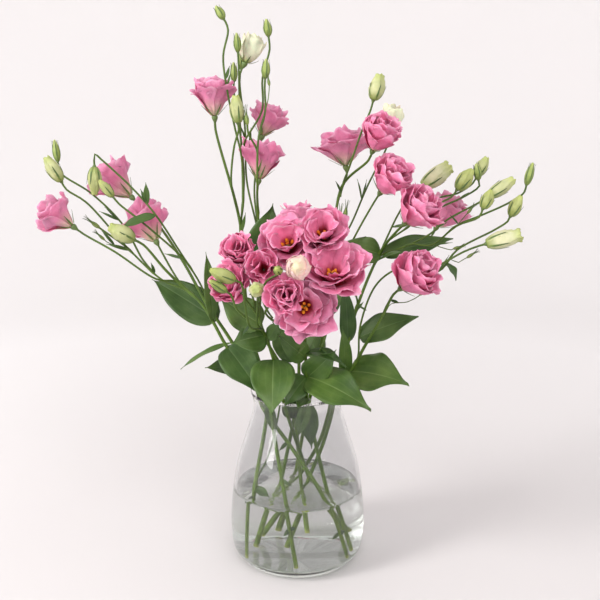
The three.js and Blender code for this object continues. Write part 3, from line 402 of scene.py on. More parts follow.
# Each stem: its shoots from the cut end up, where a later one leaves the nearest point of an earlier
# one and a name ends it in that flower, and hair-thin twigs of the same kind. Then come its bracts, as
# foot, tip and width, and its leaves, as foot, tip, width, arch and facing direction.
STEMS = {
    "stem_left_high": {
        "shoots": [
            [(46, -30, 12), (27, -37, 76), (-3, -33, 125), (-36, -11, 166), (-41, -9, 181), (-63, -6, 226),
             (-92, 2, 270), (-116, 20, 308), (-143, 34, 345), "bloom_left_high"],
            [(-84, 0, 258), (-95, -6, 288), (-115, -14, 325), (-135, -22, 360), (-156, -18, 384),
             (-186, -15, 412), (-192, -15, 417), (-193, -15, 411), "bud_left_hanging"],
            [(-106, -12, 308), (-152, -28, 358), "bud_left_middle"]],
        "bracts": [
            ((-143, -22, 371), (-148, -25, 385), 3.5), ((-116, -12, 314), (-129, -16, 322), 3),
            ((38, -33, 40), (31, -38, 36), 4), ((38, -33, 40), (45, -37, 43), 4),
            ((-12, -32, 134), (-18, -38, 128), 4)],
        "leaves": [
            ((-80, 0, 252), (-149, 22, 290), 38, 8, (-0.1, -0.8, 0.6)),
            ((-50, -9, 200), (-88, -50, 217), 27, 6, (0, -0.7, 0.7)),
            ((-66, -5, 230), (-118, -8, 203), 8, 9, (0, -0.4, 0.9)),
            ((-135, -22, 360), (-166, -38, 349), 10, 5, (0, -0.8, 0.6)),
            ((-143, -20, 370), (-143, -24, 391), 6, 2, (0.3, -1, 0))]},
    "stem_left_low": {
        "shoots": [
            [(-1, -50, 12), (-11, -48, 76), (-22, -36, 140), (-26, -27, 166), (-31, -27, 181),
             (-64, -34, 226), (-92, -28, 274), (-112, -24, 292), (-127, -29, 309), "bud_left_fat"],
            [(-106, -24, 287), "bloom_left_near"],
            [(-102, -26, 284), (-129, -26, 297), (-161, -22, 326), (-202, -18, 372), "bud_left_end"],
            [(-112, -24, 292), (-133, -40, 301), (-170, -46, 328), "bloom_left_low"],
            [(-140, -24, 306), (-169, -10, 349), (-201, 0, 379), "bud_left_small"],
            [(-161, -22, 326), "bud_left_tiny"]],
        "twigs": [
            [(-161, -22, 326), (-172, -24, 330), (-182, -27, 335), "tiny_left_low"]],
        "bracts": [
            ((-161, -22, 326), (-182, -28, 333), 3.5), ((-174, -25, 333), (-186, -28, 346), 3),
            ((-174, -12, 355), (-191, -14, 363), 2.5), ((-174, -12, 355), (-186, -12, 367), 2),
            ((-136, -30, 307), (-139, -34, 316), 3), ((-7, -48, 52), (-13, -54, 46), 4),
            ((-7, -48, 52), (-1, -54, 55), 4)],
        "leaves": [
            ((-79, -31, 258), (-86, -40, 327), 14, 4, (0.5, -0.9, 0)),
            ((-64, -34, 236), (-33, -72, 196), 36, 8, (0.3, -0.9, 0.3)),
            ((-29, -26, 180), (-21, -26, 138), 11, 0.5, (-0.2, -1, 0.2))]},
    "stem_top_left": {
        "shoots": [
            [(-47, -31, 12), (-44, -26, 76), (-32, 0, 150), (-32, 10, 176), (-49, 14, 239), (-54, 12, 292),
             (-56, 9, 342), (-61, 4, 371), "bloom_top_left"],
            [(-55, 9, 342), (-53, 6, 372), (-54, -4, 416), (-59, -8, 440), (-66, -12, 478), (-69, -10, 507),
             (-64, -10, 530), "bud_top_highest"],
            [(-55, 9, 342), (-61, -4, 372), (-63, -16, 392), (-59, -22, 425), "bud_top_pale"],
            [(-55, 9, 342), (-53, 18, 392), (-56, 17, 440), "bud_top_slim"],
            [(-54, 14, 366), (-57, 34, 430), "bud_top_middle"],
            [(-42, -20, 82), (-30, -14, 112), (-22, 2, 140), (-18, 6, 162)]],
        "twigs": [
            [(-56, 17, 440), (-57, 32, 480), (-56, 34, 496), "bud_top_hidden"]],
        "bracts": [
            ((-66, -10, 486), (-63, -12, 498), 3), ((-66, -12, 478), (-62, -14, 492), 2),
            ((-55, 10, 340), (-51, 4, 360), 3.5), ((-44, -26, 74), (-50, -32, 70), 4)],
        "leaves": [
            ((-42, -22, 82), (-28, -32, 76), 9, 2, (0, -0.7, 0.7))]},
    "stem_top_right": {
        "shoots": [
            [(8, -14, 34), (-10, 31, 176), (-37, 22, 237), (-39, 18, 280), (-39, 12, 324), (-39, 6, 360),
             "bloom_top_right"],
            [(-39, 12, 330), (-44, 36, 380), (-41, 40, 410), "bloom_top_back"],
            [(-39, 6, 360), (-38, -20, 386), (-36, -24, 433), (-30, -15, 457), "bud_top_right"],
            [(-43, 38, 412), (-52, 8, 426), (-34, 4, 458), (-33, 0, 488), (-26, 0, 514), "bud_top_end"],
            [(-41, 18, 330), (-51, 27, 390), (-52, 27, 440), "half_open_top"],
            [(-37, -25, 411), "bud_top_tiny"]],
        "twigs": [
            [(-33, -16, 448), (-27, -18, 468), (-26, -17, 478), "tiny_top_right"]],
        "bracts": [
            ((-43, 16, 424), (-45, 8, 442), 2.5), ((-38, -22, 400), (-33, -28, 412), 2),
            ((-39, 12, 324), (-33, 6, 342), 3), ((-52, 26, 430), (-56, 20, 444), 2)],
        "leaves": [
            ((-39, 16, 300), (-24, 4, 369), 40, 6, (0.1, -1, 0.2))]},
    "stem_front_left": {
        "shoots": [
            [(30, 40, 12), (-13, -34, 176), (-22, -50, 223), (-28, -58, 246), (-35, -64, 268),
             "bloom_cluster_middle"],
            [(-35, -64, 268), "bloom_cluster_left"],
            [(-33, -62, 262), "bloom_cluster_lower_left"],
            [(-30, -60, 250), (-36, -82, 268), "bud_cluster_round"],
            [(-28, -58, 246), (-42, -100, 270), (-45, -114, 294), "bud_cluster_left"],
            [(-42, -100, 272), (-52, -114, 288), "bud_cluster_corner"]],
        "bracts": [
            ((-42, -100, 271), (-48, -104, 262), 2.5), ((-16, -38, 190), (-24, -44, 180), 4),
            ((16, 12, 62), (22, 8, 66), 4)],
        "leaves": [
            ((-29, -60, 252), (-60, -72, 247), 30, 5, (0, -0.9, 0.4)),
            ((-33, -62, 262), (-72, -60, 288), 32, 6, (-0.2, -0.9, 0.3)),
            ((-28, -58, 246), (-17, -86, 268), 14, 3, (0.4, -0.6, 0.7)),
            ((-22, -50, 226), (-23, -92, 184), 42, 10, (0, -0.9, 0.45))]},
    "stem_front_right": {
        "shoots": [
            [(45, -11, 12), (10, -37, 176), (9, -48, 208), (7, -62, 246), "bloom_cluster_low"],
            [(9, -48, 208), (24, -62, 243), "bloom_cluster_right"],
            [(7, -62, 246), (-16, -78, 266), (-28, -94, 282), "bloom_cluster_round"],
            [(7, -62, 246), (15, -68, 278), (16, -88, 306), "half_open_cluster"],
            [(-22, -86, 274), (-30, -104, 296), (-26, -112, 312), "bud_cluster_small"]],
        "bracts": [
            ((7, -62, 244), (0, -72, 236), 3), ((22, -62, 240), (28, -70, 236), 3),
            ((13, -66, 268), (20, -72, 262), 2.5)],
        "leaves": [
            ((9, -48, 208), (68, -84, 186), 42, 12, (0.1, -0.7, 0.7)),
            ((9, -48, 208), (-12, -74, 186), 24, 6, (0, -0.8, 0.6)),
            ((8, -56, 228), (-18, -84, 258), 22, 5, (0, -0.9, 0.3)),
            ((8, -56, 234), (46, -64, 221), 14, 16, (0.1, -0.5, 0.9)),
            ((9, -48, 206), (36, -70, 240), 28, 4, (0.2, -0.9, 0.3)),
            ((10, -39, 184), (0, -68, 182), 13, 4, (0, -0.4, 0.9)),
            ((10, -35, 178), (14, -32, 128), 18, 1, (0.1, -1, 0.2)),
            ((9, -37, 177), (1, -37, 143), 14, 1, (-0.3, -1, 0.2))]},
    "stem_middle": {
        "shoots": [
            [(-31, 5, 12), (0, -6, 176), (1, -20, 240), (-1, -34, 290), "bloom_cluster_upper"],
            [(-1, -34, 290), "bloom_cluster_top"],
            [(0, -28, 268), "bloom_cluster_back"]],
        "bracts": [
            ((-1, -30, 280), (8, -38, 276), 3), ((-12, 1, 80), (-6, -6, 76), 4)],
        "leaves": [
            ((-4, -5, 150), (-4, -28, 192), 22, 4, (0, -1, 0.2)),
            ((0, -14, 214), (-24, -32, 258), 28, 4, (-0.3, -1, 0)),
            ((0, -14, 214), (14, 16, 260), 24, 5, (0.6, 0.7, 0.2))]},
    "stem_back_right": {
        "shoots": [
            [(-12, 48, 12), (15, 16, 176), (27, 12, 237), (33, 14, 270), (36, 18, 328), (45, 22, 385),
             "bloom_right_high"],
            [(43, 21, 374), "bloom_right_flared"],
            [(45, 22, 382), (50, 6, 402), (62, -3, 439), "bud_right_upper"],
            [(36, 18, 318), (51, 34, 338), (72, 38, 385), "half_open_right"],
            [(33, 14, 272), (56, 2, 335), "bloom_right_middle"]],
        "twigs": [
            [(37, 18, 320), (41, 4, 334), (43, -3, 350), "tiny_middle"]],
        "bracts": [
            ((38, 14, 330), (47, 0, 357), 4.5), ((62, 36, 372), (60, 26, 392), 2),
            ((62, 36, 372), (70, 30, 391), 2), ((44, 22, 378), (38, 18, 390), 2.5),
            ((33, 14, 270), (44, 8, 276), 3)],
        "leaves": [
            ((22, 14, 210), (-2, 46, 262), 30, 6, (-0.3, 0.9, 0.2)),
            ((30, 13, 255), (40, 48, 300), 24, 5, (0.2, 0.9, 0.2))]},
    "stem_right_upper": {
        "shoots": [
            [(-24, 28, 14), (2, 20, 76), (24, 11, 120), (38, 6, 176), (47, 4, 206), (60, 4, 264),
             (82, 2, 320), "bloom_right_front"],
            [(82, 2, 320), (103, 16, 361), "bud_right_cream"],
            [(80, 2, 316), (104, 18, 325), "bloom_right_back"],
            [(84, 2, 322), (108, -2, 346), (131, -4, 366), "bud_right_fat"],
            [(108, -2, 346), (134, 4, 362), (165, 6, 376), "bud_right_dark"],
            [(128, -4, 363), (138, 2, 374), (160, 18, 378), "bud_right_twin"],
            [(78, 2, 312), (104, 0, 326), (129, -4, 339), (146, -7, 354), "bud_right_long"],
            [(106, 0, 327), (131, -12, 330), (152, -24, 350), "bud_right_round"],
            [(150, -23, 348), (174, -16, 358), (209, 0, 371), "bud_right_tip"],
            [(60, 4, 264), (52, -10, 290), (42, -8, 320), "bud_middle_tiny"]],
        "twigs": [
            [(150, -22, 348), (156, -16, 352), (163, -14, 360), "tiny_right_high"],
            [(131, -12, 330), (140, -16, 328), (149, -18, 326), "tiny_right_middle"]],
        "bracts": [
            ((131, -12, 330), (150, -18, 333), 2), ((103, 10, 340), (112, -4, 349), 3),
            ((56, 3, 330), (68, 0, 337), 2.5), ((160, 6, 374), (168, 2, 380), 2),
            ((118, -3, 354), (124, -8, 362), 2), ((150, -16, 351), (146, -20, 360), 2),
            ((60, 4, 262), (66, -4, 272), 3)],
        "leaves": [
            ((83, 2, 319), (42, -8, 330), 26, 5, (0, -0.9, 0.4)),
            ((84, 2, 320), (158, 22, 332), 24, 6, (0, -0.8, 0.6)),
            ((78, 2, 312), (101, -24, 325), 13, 3, (0.2, -0.6, 0.8)),
            ((52, 4, 228), (46, -6, 292), 18, 4, (0.3, -1, 0))]},
    "stem_right_lower": {
        "shoots": [
            [(-8, 6, 12), (10, 2, 76), (27, -6, 125), (36, -12, 166), (37, -13, 183), (55, -16, 207),
             (66, -24, 231), (81, -38, 264), "bloom_right_low"],
            [(55, -16, 207), (62, -14, 248), (76, -14, 289), (93, -16, 305), (114, -16, 310), (137, -18, 305),
             (154, -20, 326), (190, -20, 346), "bud_right_outer"],
            [(120, -16, 309), (134, -28, 312), (158, -36, 327), "bud_right_lowest"]],
        "twigs": [
            [(146, -19, 315), (156, -20, 314), (162, -21, 318), "tiny_right_low"],
            [(92, -30, 274), (106, -34, 278), (116, -36, 284), "tiny_right_lowest"]],
        "bracts": [
            ((137, -18, 305), (130, -22, 322), 2.5), ((137, -18, 305), (146, -24, 322), 2),
            ((93, -30, 270), (88, -34, 280), 3), ((66, -16, 266), (58, -20, 272), 2),
            ((8, 3, 70), (3, -4, 64), 4)],
        "leaves": [
            ((52, -16, 203), (106, -56, 202), 46, 12, (0.1, -0.75, 0.65)),
            ((60, -15, 238), (118, -26, 262), 30, 6, (0, -0.7, 0.7)),
            ((50, -16, 196), (43, -38, 255), 16, 3, (0.5, -1, 0)),
            ((146, -18, 311), (153, -26, 297), 10, 7, (0.7, -0.8, 0.4))]},
}

STEM_RADIUS = 2.05
STEM_TOP_RADIUS = 1.15
SHOOT_RADIUS = 0.98
TWIG_RADIUS = 0.45
STALK_STEP = 5.0
STALK_SIDES = 12
FORK_SWELLING = 0.45
FORK_REACH = 5.0
SHOOT_FOOT = 0.75
# A shoot leaves its fork along the shoot that it grows from, and meets its flower along the flower's axis.
FORK_LEAD = 14.0
NECK_LEAD = 10.0
LEAD_SHARE = 0.3
FORK_LEAN = 0.8


def flower_axis(foot, aim):
    return (Vector(aim) - Vector(foot)).normalized()


def bend(a, b, c, t):
    """A point on a bend that starts at the first of three values and ends at the last."""
    return (1 - t) ** 2 * a + 2 * t * (1 - t) * b + t**2 * c


def nearest(paths, point):
    """Where a shoot or leaf leaves the shoots before it: their nearest point and its direction."""
    best = (math.inf, None, None)
    for path in paths:
        for a, b in zip(path, path[1:]):
            share = max(0.0, min(1.0, (point - a).dot(b - a) / (b - a).length_squared))
            spot = a.lerp(b, share)
            if (spot - point).length < best[0]:
                best = ((spot - point).length, spot, (b - a).normalized())
    return best[1], best[2]


def shoot_lines(stem):
    """The points of each shoot and twig of a stem, joined to the shoot that it leaves and to its flower."""
    lines = []
    for shoot in stem["shoots"] + stem.get("twigs", []):
        line = [Vector(p) for p in shoot if not isinstance(p, str)]
        foot = None
        if len(line) < len(shoot):
            flower = shoot[-1]
            foot, aim = BLOOMS[flower][1:3] if flower in BLOOMS else BUDS[flower][:2]
            foot, axis = Vector(foot), flower_axis(foot, aim)
        if lines:
            start, along = nearest(lines, line[0])
            gap = (line[1] if len(line) > 1 else foot) - start
            lead = (gap.normalized() * FORK_LEAN + along).normalized()
            line[:1] = [start, start + lead * min(FORK_LEAD, LEAD_SHARE * gap.length)]
        if foot:
            line += [foot - axis * min(NECK_LEAD, LEAD_SHARE * (line[-1] - foot).length), foot]
        lines.append(line)
    return lines


def new_group(name, kind, given, result):
    """A node group with named sockets, what its input node gives and what its output node takes."""
    group = bpy.data.node_groups.new(name, kind)
    for side, sockets in (("INPUT", given), ("OUTPUT", result)):
        for label, socket in sockets.items():
            group.interface.new_socket(label, in_out=side, socket_type="NodeSocket" + socket)
    if kind == "GeometryNodeTree":
        group.is_modifier = True
    return group, group.nodes.new("NodeGroupInput").outputs, group.nodes.new("NodeGroupOutput").inputs


def end_nodes(tree, geometry, finish, result):
    """The end of a tree: its instances made real, and the finish put on."""
    whole = put(tree, "GeometryNodeRealizeInstances", {"Geometry": geometry})["Geometry"]
    painted = put(tree, "GeometryNodeSetMaterial", {"Geometry": whole, "Material": finish})
    linked(painted["Geometry"], result)


def named(tree, name):
    """A stored attribute, by its name, in geometry nodes."""
    return put(tree, "GeometryNodeInputNamedAttribute", {"Name": name}, data_type="FLOAT")["Attribute"]


def stalk_tree():
    """Nodes that turn drawn lines, with a radius at each point, into round stalks with closed ends."""
    tree, given, result = new_group("round stalks", "GeometryNodeTree",
                                    {"Lines": "Geometry", "Sides": "Int", "Finish": "Material"},
                                    {"Stalks": "Geometry"})
    curve = put(tree, "GeometryNodeMeshToCurve", {"Mesh": given["Lines"]})["Curve"]
    section = put(tree, "GeometryNodeCurvePrimitiveCircle",
                  {"Resolution": given["Sides"], "Radius": 1.0})["Curve"]
    tube = put(tree, "GeometryNodeCurveToMesh", {
        "Curve": curve, "Profile Curve": section, "Scale": named(tree, "radius_here"),
        "Fill Caps": True})["Mesh"]
    smooth = put(tree, "GeometryNodeSetShadeSmooth", {"Geometry": tube})["Geometry"]
    end_nodes(tree, smooth, given["Finish"], result["Stalks"])
    return tree


STALK_TREE = stalk_tree()


def grown(piece, tree, values):
    """Run a node tree on a piece with the named values, and keep the result as its plain mesh."""
    modifier = piece.modifiers.new(tree.name, "NODES")
    modifier.node_group = tree
    for item in tree.interface.items_tree:
        if item.in_out == "INPUT" and item.name in values:
            modifier[item.identifier] = values[item.name]
    bpy.context.view_layer.update()
    result = piece.evaluated_get(bpy.context.evaluated_depsgraph_get())
    mesh = bpy.data.meshes.new_from_object(result)
    piece.modifiers.clear()
    piece.data = mesh
    return piece


def fill_attribute(mesh, name, values):
    attribute = mesh.attributes.new(name, "FLOAT", "POINT")
    attribute.data.foreach_set("value", np.asarray(values, dtype=np.float32).ravel())


def stalks(name, stem):
    """All the shoots of one stem as round stalks that swell a little at each fork."""
    lines = shoot_lines(stem)
    corners, edges, radii, alongs = [], [], [], []
    for index, line in enumerate(lines):
        path = [Vector(p) for p in through(line, STALK_STEP)]
        forks = [other[0] for other in lines[index + 1:]]
        first = len(corners)
        for k, point in enumerate(path):
            share = k / (len(path) - 1)
            radius = SHOOT_RADIUS if index < len(stem["shoots"]) else TWIG_RADIUS
            if index == 0:
                radius = bend(STEM_RADIUS, STEM_RADIUS, STEM_TOP_RADIUS, share)
            elif k < 2:
                radius *= SHOOT_FOOT
            near = min([FORK_REACH] + [(point - fork).length for fork in forks])
            radius *= 1 + FORK_SWELLING * (1 - near / FORK_REACH)
            corners.append(point * MM)
            radii.append(radius * MM)
            alongs.append(share if index == 0 else 1.0)
        edges += [(k, k + 1) for k in range(first, len(corners) - 1)]
    piece = new_piece(name, corners, [], None, edges)
    fill_attribute(piece.data, "radius_here", radii)
    fill_attribute(piece.data, "along", alongs)
    return grown(piece, STALK_TREE, {"Sides": STALK_SIDES, "Finish": STALK_SKIN})


def mottling_group():
    """Soft patches of lighter and darker growth, with a fine grain for the bump."""
    group, given, result = new_group("plant mottling", "ShaderNodeTree", {"Scale": "Float"},
                                     {"Patches": "Float", "Grain": "Float"})
    place = put(group, "ShaderNodeTexCoord")["Object"]
    finer = worked("MULTIPLY", given["Scale"], 9.0)
    for label, scale, detail in (("Patches", given["Scale"], 4.0), ("Grain", finer, 2.0)):
        noise = put(group, "ShaderNodeTexNoise", {"Vector": place, "Scale": scale, "Detail": detail})
        linked(noise["Fac"], result[label])
    return group


MOTTLING = mottling_group()


def stored(tree, name):
    return put(tree, "ShaderNodeAttribute", attribute_name=name)["Fac"]


def mottled(tree, scale):
    mottling = put(tree, "ShaderNodeGroup", {"Scale": scale}, node_tree=MOTTLING)
    return mottling["Patches"], mottling["Grain"]


def toned(color, factor, stops):
    """A colour multiplied by a ramp over a factor."""
    return mixed(1.0, color, sorted_color(factor, stops), "MULTIPLY")


def stalk_finish():
    """Grey-green skin, paler towards the thick foot and yellow at the cut."""
    finish, tree, inputs = new_finish("stalk skin", {
        "Roughness": 0.48, "Specular IOR Level": 0.35, "Subsurface Weight": 0.1,
        "Subsurface Radius": (0.5, 1.0, 0.3), "Subsurface Scale": 0.001})
    patches, grain = mottled(tree, 90.0)
    base = sorted_color(stored(tree, "along"), [
        (0.0, (0.44, 0.48, 0.12)), (0.012, (0.17, 0.26, 0.03)),
        (0.3, (0.085, 0.16, 0.015)), (1.0, (0.064, 0.115, 0.012))])
    base = toned(base, patches, [(0.3, (0.72, 0.78, 0.7)), (0.7, (1.15, 1.12, 1.1))])
    linked(base, inputs["Base Color"])
    bumped(grain, 0.0003, 0.5)
    return finish


STALK_SKIN = stalk_finish()


# Leaves
# Thin, smooth, blue-green leaves in pairs along the stems. Each one clasps its stem, arches, and ends
# in a drawn-out tip, with a pale midrib and veins that run along it from foot to tip.
LEAF_THICKNESS = 0.6
LEAF_FOLD = 0.16
LEAF_ROWS = 26
LEAF_COLUMNS = (-1, -0.84, -0.66, -0.5, -0.33, -0.18, -0.06, 0, 0.06, 0.18, 0.33, 0.5, 0.66, 0.84, 1)
MIDRIB_DEPTH = 0.35
SIDE_VEINS = (0.33, 0.66)
SIDE_VEIN_DEPTH = 0.1
BROAD_LEAF = 14


def thick_sheet(name, grid, thickness, attributes, finish):
    """A closed blade on a grid of middle points, with its inside face on the side of its normals."""
    rows, columns = grid.shape[:2]
    normal = np.cross(np.gradient(grid, axis=1), np.gradient(grid, axis=0))
    normal /= np.maximum(np.linalg.norm(normal, axis=2), 1e-9)[:, :, None]
    half = 0.5 * np.broadcast_to(thickness, (rows, columns))[:, :, None]
    corners = np.concatenate([(grid + normal * half).reshape(-1, 3), (grid - normal * half).reshape(-1, 3)])
    back = rows * columns
    faces = []
    for i in range(rows - 1):
        for j in range(columns - 1):
            a, b = i * columns + j, i * columns + j + 1
            c, d = b + columns, a + columns
            faces += [(a, b, c, d), (back + a, back + d, back + c, back + b)]
    numbers = np.arange(back).reshape(rows, columns)
    edge = [*numbers[0], *numbers[1:, -1], *numbers[-1, -2::-1], *numbers[-2:0:-1, 0]]
    for a, b in zip(edge, edge[1:] + edge[:1]):
        faces.append((b, a, back + a, back + b))
    piece = new_piece(name, corners * MM, faces, finish)
    for label, values in attributes.items():
        fill_attribute(piece.data, label, np.tile(np.broadcast_to(values, (rows, columns)).ravel(), 2))
    fill_attribute(piece.data, "inside", np.repeat([1.0, 0.0], back))
    return piece


def leaf(name, start, row, seed):
    """A blade from its foot on the shoot to its tip, folded along its midrib, arched, waved and veined."""
    _, tip, width, arch, look = row
    tip = Vector(tip)
    along = (tip - start).normalized()
    face = (Vector(look) - along * Vector(look).dot(along)).normalized()
    across = along.cross(face)
    middle = start.lerp(tip, 0.5) + face * arch
    t = np.linspace(0.0, 1.0, LEAF_ROWS)[:, None]
    v = np.array(LEAF_COLUMNS)[None, :]
    fullness = 0.66 if width > BROAD_LEAF else 0.8
    half = (width / 2) * np.maximum(np.sin(np.pi * t**fullness), 0.0) ** (0.7 + 0.75 * t**3)
    half = np.maximum(half, 0.12 + 0.35 * (1 - t))
    wave = 0.035 * width * np.sin(2 * np.pi * (t - 0.375) / 0.5 + 0.2 * seed)
    ripple = 0.03 * width * np.sin(13 * t + 2.1 * seed + 1.3 * v) * np.abs(v) ** 3
    lift = LEAF_FOLD * half * np.abs(v) ** 1.4 + v * wave + ripple
    lift = lift - MIDRIB_DEPTH * np.exp(-((v / 0.05) ** 2)) * (1 - t) ** 0.5 * (width > 10)
    for vein in SIDE_VEINS if width > BROAD_LEAF else ():
        lift = lift - SIDE_VEIN_DEPTH * np.exp(-(((np.abs(v) - vein) / 0.06) ** 2)) * np.sin(np.pi * t)
    line = bend(np.array(start), np.array(middle), np.array(tip), t)
    grid = line[:, None, :] + (v * half)[:, :, None] * np.array(across) + lift[:, :, None] * np.array(face)
    thickness = LEAF_THICKNESS * (1 - 0.6 * np.abs(v) ** 4) + 0 * t
    attributes = {"along": t + 0 * v, "across": v + 0 * t, "age": (0.37 * seed) % 1.0}
    return thick_sheet(name, grid, thickness, attributes, LEAF_SKIN)


def veins_group():
    """Pale lines that run along a blade, at even steps across it, and fade towards its tip."""
    group, given, result = new_group("long veins", "ShaderNodeTree", {
        "Across": "Float", "Along": "Float", "Count": "Float", "Wander": "Float"}, {"Lines": "Float"})
    place = put(group, "ShaderNodeTexCoord")["Object"]
    noise = put(group, "ShaderNodeTexNoise", {"Vector": place, "Scale": 160.0})["Fac"]
    drift = worked("MULTIPLY", worked("SUBTRACT", noise, 0.5), given["Wander"])
    phase = worked("MULTIPLY", worked("ADD", given["Across"], drift), given["Count"])
    saw = worked("PINGPONG", phase, 0.5)
    line = worked("POWER", worked("SUBTRACT", 1.0, worked("MULTIPLY", saw, 2.0)), 7.0)
    fading = worked("MULTIPLY", line, worked("SUBTRACT", 1.0, given["Along"]))
    linked(fading, result["Lines"])
    return group


LONG_VEINS = veins_group()


def veined(across, along, count, wander):
    given = {"Across": across, "Along": along, "Count": count, "Wander": wander}
    return put(across.id_data, "ShaderNodeGroup", given, node_tree=LONG_VEINS)["Lines"]


def leaf_finish():
    """Waxy green, mottled, with a pale midrib and paler veins, and a greyer underside."""
    finish, tree, inputs = new_finish("leaf skin", {
        "Roughness": 0.42, "Specular IOR Level": 0.35, "Subsurface Weight": 0.08,
        "Subsurface Radius": (0.4, 1.0, 0.2), "Subsurface Scale": 0.001})
    across, along, inside = (stored(tree, label) for label in ("across", "along", "inside"))
    patches, grain = mottled(tree, 42.0)
    base = sorted_color(patches, [
        (0.3, (0.026, 0.066, 0.010)), (0.5, (0.046, 0.098, 0.017)), (0.72, (0.078, 0.142, 0.030))])
    veins = veined(across, worked("MULTIPLY", along, 0.5), 3.0, 0.05)
    base = mixed(worked("MULTIPLY", veins, 0.2), base, (0.12, 0.2, 0.06))
    rib = worked("SUBTRACT", 1.0, worked("MULTIPLY", worked("ABSOLUTE", across), 22.0))
    rib = worked("MULTIPLY", worked("MAXIMUM", rib, 0.0), 0.32)
    base = mixed(rib, base, (0.2, 0.29, 0.11))
    base = toned(base, stored(tree, "age"), [(0.0, (0.72, 0.78, 0.85)), (1.0, (1.35, 1.22, 1.2))])
    under = mixed(0.5, base, (0.105, 0.165, 0.06))
    linked(mixed(inside, under, base), inputs["Base Color"])
    bumped(worked("ADD", worked("MULTIPLY", grain, 0.35), patches), 0.0012, 0.35)
    return finish


LEAF_SKIN = leaf_finish()


# Calyxes
# A small green cup under every flower and bud runs out into five narrow sepals. They lie along the
# petals, keeled like the leaves, and end in hair-thin tips that stand off a little.
PETAL_ROOT_RADIUS = 1.2
PETAL_ROOT_HEIGHT = 2.6
SEPALS = 5
CUP_TURNS = 20
SEPAL_STEPS = 12
SEPAL_WIDTH = 1.9
CUP_PROFILE = ((0.0, -3.4), (1.25, -3.2), (1.7, -2.0), (2.5, -0.6), (3.0, 1.0), (2.9, 2.6), (2.0, 3.0),
               (0.0, 2.4))
# Petal rings of each form from the outside in: petals, first angle, bend (out, up), rim (out, up), half
# width, all as shares of the bloom's width and height, then how far the rim curls outwards.
RINGS = {
    "cup": [
        (5, 0, (0.28, 0.40), (0.49, 0.79), 0.42, 0.05),
        (5, 36, (0.25, 0.46), (0.41, 0.92), 0.40, 0.03),
        (4, 15, (0.18, 0.52), (0.29, 0.97), 0.34, 0.01),
        (3, 50, (0.10, 0.58), (0.16, 0.95), 0.24, 0.0),
    ],
    "rose": [
        (5, 0, (0.34, 0.28), (0.49, 0.74), 0.45, 0.05),
        (5, 36, (0.31, 0.38), (0.42, 0.87), 0.44, 0.02),
        (4, 10, (0.26, 0.47), (0.33, 0.94), 0.40, 0.01),
        (3, 55, (0.20, 0.53), (0.24, 0.97), 0.34, 0.0),
        (3, 20, (0.12, 0.58), (0.15, 0.96), 0.24, 0.0),
    ],
    "open": [
        (5, 0, (0.35, 0.37), (0.49, 0.72), 0.42, 0.05),
        (5, 36, (0.27, 0.46), (0.39, 0.86), 0.39, 0.04),
        (4, 20, (0.18, 0.55), (0.27, 0.95), 0.31, 0.02),
    ],
    "half": [
        (4, 0, (0.46, 0.30), (0.40, 0.92), 0.46, 0.0),
        (3, 50, (0.42, 0.40), (0.31, 0.97), 0.48, -0.01),
        (3, 15, (0.33, 0.50), (0.22, 0.99), 0.36, -0.02),
    ],
    "ball": [
        (4, 0, (0.47, 0.36), (0.30, 0.84), 0.47, 0.0),
        (4, 45, (0.45, 0.48), (0.21, 0.93), 0.46, 0.0),
    ],
}


def placing(foot, aim, turn=0.0):
    """The matrix that puts an upright shape on a flower's foot, turned and then leant towards its aim."""
    lean = Vector((0, 0, 1)).rotation_difference(flower_axis(foot, aim)).to_matrix().to_4x4()
    return Matrix.Translation(Vector(foot) * MM) @ lean @ Matrix.Rotation(math.radians(turn), 4, "Z")


def sepal_line_on_bloom(name):
    """Points (out, up) of a sepal's middle line, just outside the middle of an outer petal."""
    form, _, _, width, height, _ = BLOOMS[name]
    _, _, out, rim, _, _ = RINGS[form][0]
    line = []
    for k in range(SEPAL_STEPS + 1):
        t = 0.05 + 0.42 * k / SEPAL_STEPS
        stand = 0.9 + 5.0 * t**1.2
        line.append((bend(PETAL_ROOT_RADIUS, out[0] * width, rim[0] * width, t) + stand,
                     bend(PETAL_ROOT_HEIGHT, out[1] * height, rim[1] * height, t) - 0.5 * stand))
    return line


def sepals(name, line, width):
    """Five keeled, tapering sepals that follow the same line at even turns round a flower."""
    blades = []
    share = np.linspace(0.0, 1.0, len(line))[:, None]
    v = np.array((-1.0, -0.45, 0.0, 0.45, 1.0))[None, :]
    half = width / 2 * (1 - share) ** 0.75 * (1 - 0.25 * (1 - share) ** 6) + 0.12
    out = np.array([p[0] for p in line])[:, None] + 0.35 * half * (1 - np.abs(v))
    rise = np.array([p[1] for p in line])[:, None] + 0 * v
    for k in range(SEPALS):
        angle = 2 * math.pi * k / SEPALS
        side = v * half
        grid = np.stack([out * math.cos(angle) - side * math.sin(angle),
                         out * math.sin(angle) + side * math.cos(angle), rise], axis=2)[:, ::-1]
        attributes = {"along": share + 0 * v, "across": v + 0 * share}
        blades.append(thick_sheet(name, grid, 0.45 - 0.27 * share, attributes, SEPAL_SKIN))
    return blades


def calyx(name, foot, aim, turn, line, width, scale):
    """The cup and sepals of one flower or bud, on its foot."""
    cup = lathe(name, [(r * scale, z * scale) for r, z in CUP_PROFILE], CUP_TURNS, SEPAL_SKIN)
    fill_attribute(cup.data, "along", np.full(len(cup.data.vertices), 0.2))
    pieces = [cup, *sepals(name, line, width)]
    for piece in pieces:
        piece.data.transform(placing(foot, aim, turn))
    return pieces


